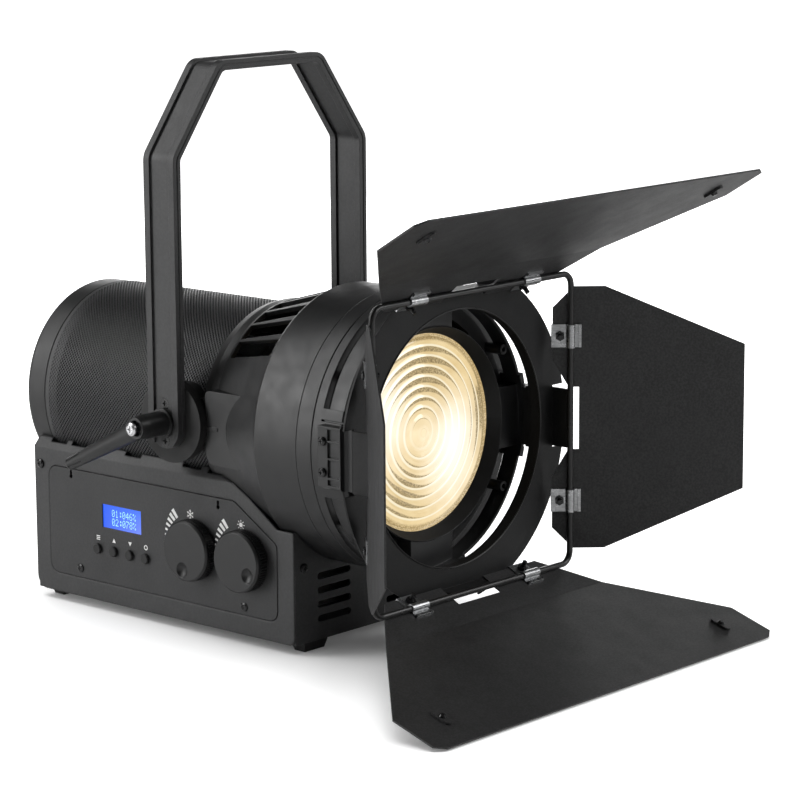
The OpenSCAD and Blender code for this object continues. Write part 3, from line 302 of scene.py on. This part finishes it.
def emitter_material(name):
    """Lit yellow phosphor in square dies."""
    t = Tree(name)
    dies = t.node("ShaderNodeTexVoronoi", Vector=t.place, distance="CHEBYCHEV", feature="F1")
    dies.inputs["Scale"].default_value = 500.0
    tone = t.ramp(dies.outputs["Distance"], [(0.1, (0.95, 0.72, 0.18)), (0.6, (0.70, 0.46, 0.10))])
    t.surface(**{"Base Color": tone, "Roughness": 0.3, "Emission Color": tone, "Emission Strength": 1.5,
                 "Normal": t.bump(dies.outputs["Distance"], 0.4, 0.05)})
    return t.mat


def mirror_material(name):
    """Polished reflector with a slight ripple."""
    t = Tree(name)
    ripple = t.noise(2.5, 2.0)
    tone = t.ramp(ripple, [(0.3, (0.80, 0.80, 0.81)), (0.7, (0.88, 0.88, 0.89))])
    shine = t.ramp(ripple, [(0.3, 0.08), (0.7, 0.16)], False)
    t.surface(**{"Base Color": tone, "Metallic": 1.0, "Roughness": shine,
                 "Normal": t.bump(ripple, 0.2, 0.02)})
    return t.mat


POWDER = coated_metal("powder_black", (0.030, 0.0302, 0.031), (0.040, 0.0402, 0.041), 0.50, 0.7, 0.05)
COVER = coated_metal("powder_cover", (0.030, 0.0302, 0.031), (0.040, 0.0402, 0.041), 0.50, 0.7, 0.05,
                     wear=0.15, edge_mm=2.2)
# the control plate takes the cover's powder paint at three quarters of its tone: painted shade, darker than
# the lamps make it
SHADED_PANEL = coated_metal("powder_panel_shaded", (0.022, 0.0222, 0.023), (0.031, 0.0312, 0.032), 0.52, 0.6, 0.04,
                     wear=0.3, edge_mm=0.7)
SHEET = coated_metal("sheet_black", (0.022, 0.022, 0.0225), (0.031, 0.031, 0.0315), 0.50, 0.55, 0.05,
                     wear=0.2, edge_mm=0.3, speckle=0.5)
PLATE = coated_metal("plate_black", (0.008, 0.008, 0.0082), (0.013, 0.013, 0.0133), 0.46, 0.5, 0.03,
                     wear=0.25, edge_mm=0.4, sheen=0.25)
WIRE = coated_metal("wire_black", (0.006, 0.006, 0.006), (0.011, 0.011, 0.011), 0.30, 0.6, 0.02,
                    wear=0.3, edge_mm=0.2)
MESH = coated_metal("mesh_black", (0.040, 0.0405, 0.042), (0.055, 0.0555, 0.057), 0.42, 0.5, 0.02,
                    wear=0.1, edge_mm=0.15)
# near-black sheet behind the barrel's holes: painted shade for the dark inside seen through them
SHADE_LINER = moulded("shade_liner_black", (0.0015, 0.0015, 0.0015), (0.003, 0.003, 0.003), 0.9,
               edge_mm=0.2, grain_depth=0.3)
MOULD = moulded("moulded_black", (0.010, 0.0101, 0.0104), (0.015, 0.0152, 0.0156), 0.42)
RUBBER = moulded("rubber_black", (0.010, 0.010, 0.010), (0.016, 0.016, 0.016), 0.62,
                 edge_mm=0.3, grain_depth=0.05)
SCREW = coated_metal("screw_black", (0.005, 0.005, 0.0055), (0.010, 0.010, 0.0105), 0.26, 0.3, 0.01,
                     wear=0.5, edge_mm=0.2)
STEEL = bare_metal("steel_bright", (0.55, 0.55, 0.56), (0.75, 0.75, 0.76), 0.28)
GALV = bare_metal("galvanised", (0.30, 0.305, 0.31), (0.46, 0.465, 0.47), 0.30,
                  along=(0.25, 0.25, 1.0), grain_mm=0.9)
ALU = bare_metal("aluminium_plain", (0.42, 0.43, 0.44), (0.58, 0.59, 0.60), 0.38)
ZINC = bare_metal("zinc_sheet", (0.40, 0.41, 0.42), (0.55, 0.56, 0.57), 0.42, spangle=5.0)
# white print glows a little (0.12): painted light that brightens it
INK = plastic_print("print_white", (0.82, 0.82, 0.81), glow=0.12)
SEGMENT = plastic_print("display_dots", (0.30, 0.66, 1.0), 0.3, glow=0.85)
BOARD = board_material("circuit_board")
EMITTER = emitter_material("led_phosphor")
MIRROR = mirror_material("reflector_silver")

BULL_MM = 12.6       # radius of the lens's bull's eye
PITCH_MM = 6.5       # width of one step of the lens
ring_low, ring_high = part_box("turn_ring")
AXIS_Z = (ring_low.z + ring_high.z) / 2
LENS = lens_material("lens_glass", AXIS_Z, BULL_MM, PITCH_MM)
DISPLAY = display_material("display_glass", *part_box("display_window"))

BY_SLOT = {
    "powder_black": POWDER, "sheet_black": SHEET, "mesh_black": MESH, "moulded_black": MOULD,
    "rubber_black": RUBBER, "screw_black": SCREW, "steel_bright": STEEL, "galvanised": GALV,
    "aluminium_plain": ALU, "zinc_sheet": ZINC, "circuit_board": BOARD, "led_phosphor": EMITTER,
    "reflector_silver": MIRROR, "display_glass": DISPLAY, "lens_glass": LENS,
}
BY_NODE = {
    "side_cover_left": COVER, "side_cover_right": COVER, "control_plate": SHADED_PANEL,
    "barndoor_plate": PLATE, "turn_ring": PLATE, "wire_frame": WIRE, "friction_discs": RUBBER,
}
for entry in frame["record"]["subparts"]:
    ob = NODES[entry["node"]]
    ob.data.materials.clear()
    ob.data.materials.append(BY_NODE.get(entry["node"]) or BY_SLOT[entry["material_slot"]])

# ---------------------------------------------------------------- pieces


def piece(name, verts, faces, mat, body, node=None, smooth=False):
    """A new mesh that rides on a CAD body; node names the CAD node it stands for.
    """
    mesh = bpy.data.meshes.new(name)
    mesh.from_pydata([tuple(map(float, v)) for v in verts], [], [tuple(map(int, f)) for f in faces])
    mesh.validate()
    mesh.polygons.foreach_set("use_smooth", [smooth] * len(mesh.polygons))
    mesh.materials.append(mat)
    ob = bpy.data.objects.new(name, mesh)
    bpy.context.scene.collection.objects.link(ob)
    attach(ob, body)
    if node:
        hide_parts(node)
    return ob


HOLE_PITCH = 2.6 * MM
HOLE_ROW = 1.35 * MM
HOLE_RADIUS = 0.84 * MM
HOLE_SIDES = 8
BARREL_SHEET = 0.9 * MM      # thickness of the perforated sheet
BARREL_END = 1.5 * MM        # plain margin at both ends
PERFORATED_DEG = 120         # the holes reach this far down both sides from the top
MESH_PARTS = 4


def barrel_span():
    """Radius of the barrel, and where its holes start and stop along Y."""
    low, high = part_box("barrel_mesh")
    return (high.x - low.x) / 2, low.y + BARREL_END, high.y - BARREL_END


def hole_rows(radius):
    """Rows of holes on each side of the top line."""
    return 2 * int(radius * math.radians(PERFORATED_DEG) / HOLE_ROW / 2)


def on_barrel(radius, angle, y):
    """The point of a cylinder about the optical axis at an angle from the top."""
    return radius * math.sin(angle), y, AXIS_Z + radius * math.cos(angle)


def perforated_barrel():
    """Rolled sheet with staggered round holes: diamond cells, each with an eight-sided hole."""
    radius, start, stop = barrel_span()
    rows = hole_rows(radius)
    count = int((stop - start) / HOLE_PITCH)
    corner = np.array([(1, 0), (0.5, 0.5), (0, 1), (-0.5, 0.5), (-1, 0), (-0.5, -0.5), (0, -1), (0.5, -0.5)])
    corner = corner * (HOLE_PITCH / 2, HOLE_ROW)
    turn = np.arange(HOLE_SIDES) * 2 * math.pi / HOLE_SIDES
    ring = np.stack([np.cos(turn), np.sin(turn)], 1) * HOLE_RADIUS
    n = HOLE_SIDES
    quads = np.array([(k, (k + 1) % n, n + (k + 1) % n, n + k) for k in range(n)])
    for part in range(MESH_PARTS):
        js = np.arange(-rows + part * 2 * rows // MESH_PARTS, -rows + (part + 1) * 2 * rows // MESH_PARTS)
        jj, ii = np.meshgrid(js, np.arange(count), indexing="ij")
        jj, ii = jj.ravel(), ii.ravel()
        centre = np.stack([start + (ii + 0.5 + 0.5 * (jj % 2)) * HOLE_PITCH, jj * HOLE_ROW], 1)
        flat = (centre[:, None, :] + np.concatenate([corner, ring])[None]).reshape(-1, 2)
        faces = (np.arange(len(centre))[:, None, None] * 2 * n + quads[None]).reshape(-1, 4)
        # neighbouring cells share their corners
        key = np.round(flat / (0.01 * MM)).astype(np.int64)
        _, first, back = np.unique(key, axis=0, return_index=True, return_inverse=True)
        flat, faces = flat[first], back.ravel()[faces]
        angle = flat[:, 1] / radius
        verts = np.stack([radius * np.sin(angle), flat[:, 0], AXIS_Z + radius * np.cos(angle)], 1)
        ob = piece(f"barrel_mesh_{part + 1}", verts, faces, MESH, "housing", "barrel_mesh")
        thick = ob.modifiers.new("thickness", "SOLIDIFY")
        thick.thickness = BARREL_SHEET
        thick.offset = -1.0


def barrel_sheet():
    """Plain strip under the barrel, hidden by the base."""
    radius, start, stop = barrel_span()
    steps = 24
    edge = hole_rows(radius) * HOLE_ROW / radius
    turns = np.linspace(edge, 2 * math.pi - edge, steps + 1)
    verts, faces = [], []
    for r in (radius, radius - BARREL_SHEET):
        for y in (start, stop):
            verts += [on_barrel(r, a, y) for a in turns]
    n = steps + 1
    for i in range(steps):
        faces += [(i, i + 1, n + i + 1, n + i), (2 * n + i + 1, 2 * n + i, 3 * n + i, 3 * n + i + 1),
                  (i + 1, i, 2 * n + i, 2 * n + i + 1), (n + i, n + i + 1, 3 * n + i + 1, 3 * n + i)]
    faces += [(0, n, 3 * n, 2 * n), (n + steps, steps, 2 * n + steps, 3 * n + steps)]
    piece("barrel_sheet", verts, faces, MESH, "housing", "barrel_mesh")


def barrel_shade_liner():
    """Thin near-black sheet behind the holes: painted shade, so the holes show the barrel's dark inside."""
    radius, start, stop = barrel_span()
    out, inn, n = radius - 2.0 * MM, radius - 2.6 * MM, 96
    corners = ((out, start), (out, stop), (inn, stop), (inn, start))
    verts = [on_barrel(r, a, y) for a in np.linspace(0, 2 * math.pi, n, endpoint=False) for r, y in corners]
    faces = [(4 * i + k, 4 * i + (k + 1) % 4, 4 * ((i + 1) % n) + (k + 1) % 4, 4 * ((i + 1) % n) + k)
             for i in range(n) for k in range(4)]
    piece("barrel_shade_liner", verts, faces, SHADE_LINER, "housing")


def revolve(profile, steps):
    """Verts and faces of a closed profile of (radius, y) turned about the optical axis."""
    verts, faces, n = [], [], len(profile)
    for k in range(steps):
        a = 2 * math.pi * k / steps
        verts += [(r * math.cos(a), y, AXIS_Z + r * math.sin(a)) for r, y in profile]
    for k in range(steps):
        here, there = k * n, ((k + 1) % steps) * n
        faces += [(here + i, here + (i + 1) % n, there + (i + 1) % n, there + i) for i in range(n)]
    return verts, faces


def stepped_lens():
    """The lens with curved steps and a domed bull's eye, inside the CAD lens's box."""
    low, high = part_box("fresnel_lens")
    rim = (high.x - low.x) / 2
    front, back = low.y, high.y
    tiny = 0.05 * MM         # the profile stops just short of the axis
    dome, step, valley = 2.6 * MM, 2.0 * MM, 0.7 * MM
    flange = front + 1.7 * MM
    outer = rim - 3.0 * MM
    profile = [(tiny, front)]
    for i in range(1, 9):
        f = i / 8
        profile.append((BULL_MM * MM * f, front + dome * f ** 2.2))
    inner = BULL_MM * MM
    while inner < outer - 0.5 * MM:
        end = min(inner + PITCH_MM * MM, outer)
        for i in range(5):
            f = i / 4
            profile.append((inner + (end - inner) * f + 0.02 * MM, front + valley + step * f ** 1.6))
        inner = end
    profile += [(outer + 0.8 * MM, flange), (rim, flange), (rim, back), (tiny, back)]
    verts, faces = revolve(profile, 192)
    piece("stepped_lens", verts, faces, LENS, "housing", "fresnel_lens")


INK_LIFT = 0.06 * MM         # how far print stands out of the plate
DOT_LIFT = 0.04 * MM         # how far a display dot stands out of the window


def slab(outline, x_face, lift, verts, faces):
    """Adds a thin prism over an outline in (y, z), standing lift out of the face at x_face."""
    n, first = len(outline), len(verts)
    verts += [(x_face + 0.02 * MM, y, z) for y, z in outline] + [(x_face - lift, y, z) for y, z in outline]
    faces.append(tuple(first + i for i in range(n)))
    faces.append(tuple(first + n + n - 1 - i for i in range(n)))
    for i in range(n):
        j = (i + 1) % n
        faces.append((first + i, first + n + i, first + n + j, first + j))


def stroke(a, b, width):
    """Outline of a straight bar from a to b."""
    a, b = np.array(a), np.array(b)
    along = (b - a) / np.linalg.norm(b - a)
    side = np.array([-along[1], along[0]]) * width / 2
    return [a - side, b - side, b + side, a + side]


def sector(centre, r0, r1, a0, a1, steps=3):
    """Outline of a ring sector; angles are measured up from the rear (+Y), in degrees."""
    ts = [math.radians(a0 + (a1 - a0) * i / steps) for i in range(steps + 1)]
    pts = [(centre[0] + r0 * math.cos(t), centre[1] + r0 * math.sin(t)) for t in ts]
    return pts + [(centre[0] + r1 * math.cos(t), centre[1] + r1 * math.sin(t)) for t in reversed(ts)]


def middle(node):
    """Middle of a node's box in (y, z)."""
    low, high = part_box(node)
    return (low.y + high.y) / 2, (low.z + high.z) / 2


def polar(centre, radius, angle):
    """The point at a radius and an angle from a centre in (y, z)."""
    return centre[0] + radius * math.cos(angle), centre[1] + radius * math.sin(angle)


def snowflake(mark, face, verts, faces):
    """Six arms with two side branches each; each arm is lifted a little more than the last."""
    for k in range(6):
        a = math.radians(60 * k + 30)
        rise = 0.003 * k * MM
        slab(stroke(mark, polar(mark, 3.2 * MM, a), 0.55 * MM), face, INK_LIFT + rise, verts, faces)
        root = polar(mark, 1.7 * MM, a)
        for s in (-1, 1):
            end = polar(root, 1.2 * MM, a + s * math.radians(38))
            slab(stroke(root, end, 0.4 * MM), face, INK_LIFT + 0.02 * MM + rise, verts, faces)


def sun(mark, face, verts, faces):
    """A disc with eight rays."""
    slab(sector(mark, 0.0002 * MM, 1.5 * MM, 0, 359, 20)[21:], face, INK_LIFT, verts, faces)
    for k in range(8):
        a = math.radians(45 * k)
        ray = stroke(polar(mark, 2.1 * MM, a), polar(mark, 3.3 * MM, a), 0.5 * MM)
        slab(ray, face, INK_LIFT, verts, faces)


def level_scale(knob, name, draw_mark):
    """Seven bars that grow round the knob, and a pictogram above it."""
    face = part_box("control_plate")[0].x
    centre = middle(knob)
    verts, faces = [], []
    first, last, bars = 4.0, 52.0, 7
    pitch = (last - first) / (bars - 0.3)
    for i in range(bars):
        a = first + i * pitch
        width = pitch * (0.28 + 0.42 * i / (bars - 1))
        r0 = (26.2 - 0.35 * i) * MM
        r1 = (27.6 + 0.55 * i) * MM
        slab(sector(centre, r0, r1, a, a + width), face, INK_LIFT, verts, faces)
    draw_mark((centre[0] + 3.6 * MM, centre[1] + 22.4 * MM), face, verts, faces)
    piece(f"{name}_scale", verts, faces, INK, "housing")


def button_marks():
    """Small generic signs over the four buttons: lines, up, down, ring."""
    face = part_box("control_plate")[0].x
    verts, faces = [], []
    rise = 7.5 * MM
    for name in ("menu", "up", "down", "enter"):
        y, z = middle(f"button_{name}")
        z += rise
        if name == "menu":
            for k in (-1, 0, 1):
                line = z + 1.2 * k * MM
                bar = stroke((y - 1.7 * MM, line), (y + 1.7 * MM, line), 0.6 * MM)
                slab(bar, face, INK_LIFT, verts, faces)
        elif name == "enter":
            for start in (0, 180):
                half = sector((y, z), 1.05 * MM, 1.75 * MM, start, start + 178, 12)
                slab(half, face, INK_LIFT, verts, faces)
        else:
            s = 1 if name == "up" else -1
            foot = z - s * 1.4 * MM
            tri = [(y - 1.6 * MM, foot), (y + 1.6 * MM, foot), (y, z + s * 1.5 * MM)]
            slab(tri if s > 0 else tri[::-1], face, INK_LIFT, verts, faces)
    piece("button_marks", verts, faces, INK, "housing")


DIGITS = {
    "0": "01110 10001 10011 10101 11001 10001 01110",
    "1": "00100 01100 00100 00100 00100 00100 01110",
    "2": "01110 10001 00001 00010 00100 01000 11111",
    "4": "00010 00110 01010 10010 11111 00010 00010",
    "6": "00110 01000 10000 11110 10001 10001 01110",
    "7": "11111 00001 00010 00100 01000 01000 01000",
    "8": "01110 10001 10001 01110 10001 10001 01110",
    "%": "11000 11001 00010 00100 01000 10011 00011",
    ":": "00000 00110 00110 00000 00110 00110 00000",
}


def display_dots():
    """Two rows of dot-matrix figures: a channel number and its level in per cent."""
    low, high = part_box("display_window")
    verts, faces = [], []
    dot_w, dot_h = 0.46 * MM, 0.58 * MM
    pitch_y, pitch_z = 0.56 * MM, 0.70 * MM
    cell, line_height = 3.35 * MM, 5.9 * MM
    side_margin, top_margin = 8.6 * MM, 3.0 * MM
    for row, text in enumerate(("01:046%", "02:078%")):
        top = high.z - top_margin - line_height * row
        for c, sign in enumerate(text):
            left = high.y - side_margin - c * cell
            for j, line in enumerate(DIGITS[sign].split()):
                for i, bit in enumerate(line):
                    if bit == "1":
                        y, z = left - i * pitch_y, top - j * pitch_z
                        slab([(y, z - dot_h), (y, z), (y - dot_w, z), (y - dot_w, z - dot_h)],
                             low.x, DOT_LIFT, verts, faces)
    piece("display_dots", verts, faces, SEGMENT, "housing")


PLATE_FRONT = -170.95 * MM   # Y of the barndoor plate's front face
PLATE_HOLE = 81.9 * MM       # radius of the middle of the hem
HEM_BEAD = 0.45 * MM         # radius of the rolled edge itself


def plate_hem():
    """Rolled hem round the opening of the barndoor plate."""
    turns = [k * math.pi / 4 for k in range(8)]
    profile = [(PLATE_HOLE + HEM_BEAD * math.cos(a), PLATE_FRONT + HEM_BEAD * math.sin(a)) for a in turns]
    verts, faces = revolve(profile, 128)
    piece("plate_hem", verts, faces, WIRE, "barndoor", smooth=True)


def knob_grip(knob):
    """Fine ribs round a knob's rear edge; the knob's node and body have the same name."""
    low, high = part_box(knob)
    y, z = middle(knob)
    radius = (high.y - low.y) / 2
    ribs = 72
    root, crest = radius - 0.1 * MM, radius + 0.28 * MM
    verts, faces = [], []
    for k in range(ribs):
        a = 2 * math.pi * k / ribs
        first = len(verts)
        for x in (low.x + 3.0 * MM, low.x + 8.6 * MM):
            for r, off in ((root, -1.0), (crest, -0.45), (crest, 0.45), (root, 1.0)):
                t = a + off * math.pi / ribs * 0.8
                verts.append((x, y + r * math.cos(t), z + r * math.sin(t)))
        faces += [(first, first + 1, first + 2, first + 3), (first + 7, first + 6, first + 5, first + 4)]
        faces += [(first + i, first + 4 + i, first + 4 + (i + 1) % 4, first + (i + 1) % 4) for i in range(4)]
    piece(f"{knob}_grip", verts, faces, MOULD, knob)


perforated_barrel()
barrel_sheet()
barrel_shade_liner()
stepped_lens()
level_scale("cool_level_knob", "cool", snowflake)
level_scale("warm_level_knob", "warm", sun)
button_marks()
display_dots()
plate_hem()
knob_grip("cool_level_knob")
knob_grip("warm_level_knob")

# ---------------------------------------------------------------- stage


ROOM = 0.04                  # what the world gives to everything but the camera
BACKDROP = 1.05              # what the camera sees of it
CAMERA_AZIMUTH, CAMERA_ELEVATION, CAMERA_ROLL = -48.33, 10.82, -0.35
CAMERA_DISTANCE = 1.908
FOCAL_MM = 138.06
AIM_Y, AIM_LEFT, AIM_UP = -0.185, 0.0467, 0.0258     # the point aimed at: on the axis, then shifted
LAMP_DISTANCE, LAMP_BASE = 2.2, -0.2
PAPER_POWER = 42             # lamp that lights only the floor
FLOOR_HALF = 6.0
# the paper's glow to the camera is darkened near surfaces by a painted contact shadow, reaching this far
SHADOW_REACH = 0.11          # how far from a surface the paper is darkened under it
# NEAR_GLOW is the part of the glow that the painted contact shadow darkens
NEAR_GLOW, FAR_GLOW = 0.66, 0.5      # the paper's own white, near the object and added far from it

# name, azimuth from the front (-Y) towards -X, elevation, size, power
LAMPS = (
    ("left_low", 125, 10, (0.9, 1.2), 15),
    ("left_high", 135, 28, (1.0, 1.0), 14),
    ("back_high", 150, 50, (0.9, 0.9), 10),
    ("right_front", -34, 28, (1.3, 1.2), 26),
    ("backdrop", -132, 9, (2.6, 0.9), 22),
)


def look_matrix(place, right, up, back):
    """Places a camera by its three axes."""
    m = Matrix((right, up, back)).transposed().to_4x4()
    m.translation = place
    return m


def make_camera():
    """Long lens from the front left, a little above, as a product picture is taken."""
    a, e, roll = (math.radians(v) for v in (CAMERA_AZIMUTH, CAMERA_ELEVATION, CAMERA_ROLL))
    back = Vector((math.sin(a) * math.cos(e), -math.cos(a) * math.cos(e), math.sin(e)))
    fwd = -back
    side = fwd.cross(Vector((0, 0, 1))).normalized()
    top = side.cross(fwd)
    right = math.cos(roll) * side + math.sin(roll) * top
    up = math.cos(roll) * top - math.sin(roll) * side
    data = bpy.data.cameras.new("camera")
    data.sensor_width = 36
    data.lens = FOCAL_MM
    cam = bpy.data.objects.new("camera", data)
    bpy.context.scene.collection.objects.link(cam)
    aim = Vector((0, AIM_Y, AXIS_Z)) - right * AIM_LEFT + up * AIM_UP
    cam.matrix_world = look_matrix(aim + back * CAMERA_DISTANCE, right, up, back)
    bpy.context.scene.camera = cam


def area_light(name, place, aim, width, height, power):
    """A rectangular soft light turned towards aim."""
    data = bpy.data.lights.new(name, "AREA")
    data.shape = "RECTANGLE"
    data.size, data.size_y = width, height
    data.energy = power
    lamp = bpy.data.objects.new(name, data)
    bpy.context.scene.collection.objects.link(lamp)
    back = (Vector(place) - Vector(aim)).normalized()
    lamp.location = place
    lamp.rotation_mode = "QUATERNION"
    lamp.rotation_quaternion = back.to_track_quat("Z", "Y")
    return lamp


def make_floor():
    """Pale paper that fades into the white backdrop away from the object; near the object its glow to the
    camera is darkened by ambient occlusion, a painted contact shadow.
    """
    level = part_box("rubber_feet")[0].z
    mesh = bpy.data.meshes.new("floor")
    s = FLOOR_HALF
    mesh.from_pydata([(-s, -s, level), (s, -s, level), (s, s, level), (-s, s, level)], [], [(0, 1, 2, 3)])
    ob = bpy.data.objects.new("floor", mesh)
    bpy.context.scene.collection.objects.link(ob)
    t = Tree("floor_paper")
    x, y, _ = t.axes()
    far = t.math("SUBTRACT", 1.0, t.blob(x, y, (0.0, -0.1), (0.75, 0.75)))
    camera = t.node("ShaderNodeLightPath").outputs["Is Camera Ray"]
    shade = t.node("ShaderNodeAmbientOcclusion", samples=8)
    shade.inputs["Distance"].default_value = SHADOW_REACH
    # painted contact shadow: the glow falls to a tenth where surfaces are close above the paper
    painted_shadow_factor = t.ramp(shade.outputs["AO"], [(0.35, 0.1), (0.95, 1.0)], False)
    glow = t.math("ADD", t.math("MULTIPLY", painted_shadow_factor, NEAR_GLOW), t.math("MULTIPLY", far, FAR_GLOW))
    glow = t.math("MULTIPLY", glow, camera)
    paper = t.ramp(t.noise(3000.0, 1.0), [(0.3, (0.88, 0.88, 0.88)), (0.7, (0.9, 0.9, 0.9))])
    t.surface(**{"Base Color": paper, "Roughness": 0.8, "Specular IOR Level": 0.1,
                 "Emission Color": (1, 1, 1, 1), "Emission Strength": glow})
    mesh.materials.append(t.mat)
    return ob


def floor_light(floor, power):
    """A high soft light for the paper only, so it stays white round a soft contact shadow."""
    only = bpy.data.collections.new("paper_only")
    only.objects.link(floor)
    lamp = area_light("paper", (-0.2, -0.2, 2.6), (0, -0.1, 0), 3.0, 3.0, power)
    lamp.light_linking.receiver_collection = only


def make_world():
    """White to the camera, a dim even room to everything else."""
    world = bpy.data.worlds.new("studio")
    bpy.context.scene.world = world
    world.use_nodes = True
    nt = world.node_tree
    nt.nodes.clear()
    camera = nt.nodes.new("ShaderNodeLightPath").outputs["Is Camera Ray"]
    level = nt.nodes.new("ShaderNodeMapRange")
    level.inputs["To Min"].default_value = ROOM
    level.inputs["To Max"].default_value = BACKDROP
    nt.links.new(camera, level.inputs["Value"])
    bg = nt.nodes.new("ShaderNodeBackground")
    bg.inputs["Color"].default_value = (1, 1, 1, 1)
    nt.links.new(level.outputs[0], bg.inputs["Strength"])
    out = nt.nodes.new("ShaderNodeOutputWorld")
    nt.links.new(bg.outputs[0], out.inputs[0])


def softbox(name, azimuth, elevation, size, power):
    """A soft light on a sphere round the object."""
    a, e = math.radians(azimuth), math.radians(elevation)
    place = (-math.sin(a) * math.cos(e) * LAMP_DISTANCE, -math.cos(a) * math.cos(e) * LAMP_DISTANCE,
             math.sin(e) * LAMP_DISTANCE + LAMP_BASE)
    area_light(name, place, (0, 0, AXIS_Z), *size, power)


make_camera()
floor_light(make_floor(), PAPER_POWER)
make_world()
for lamp in LAMPS:
    softbox(*lamp)
bpy.context.scene.view_settings.view_transform = "Standard"
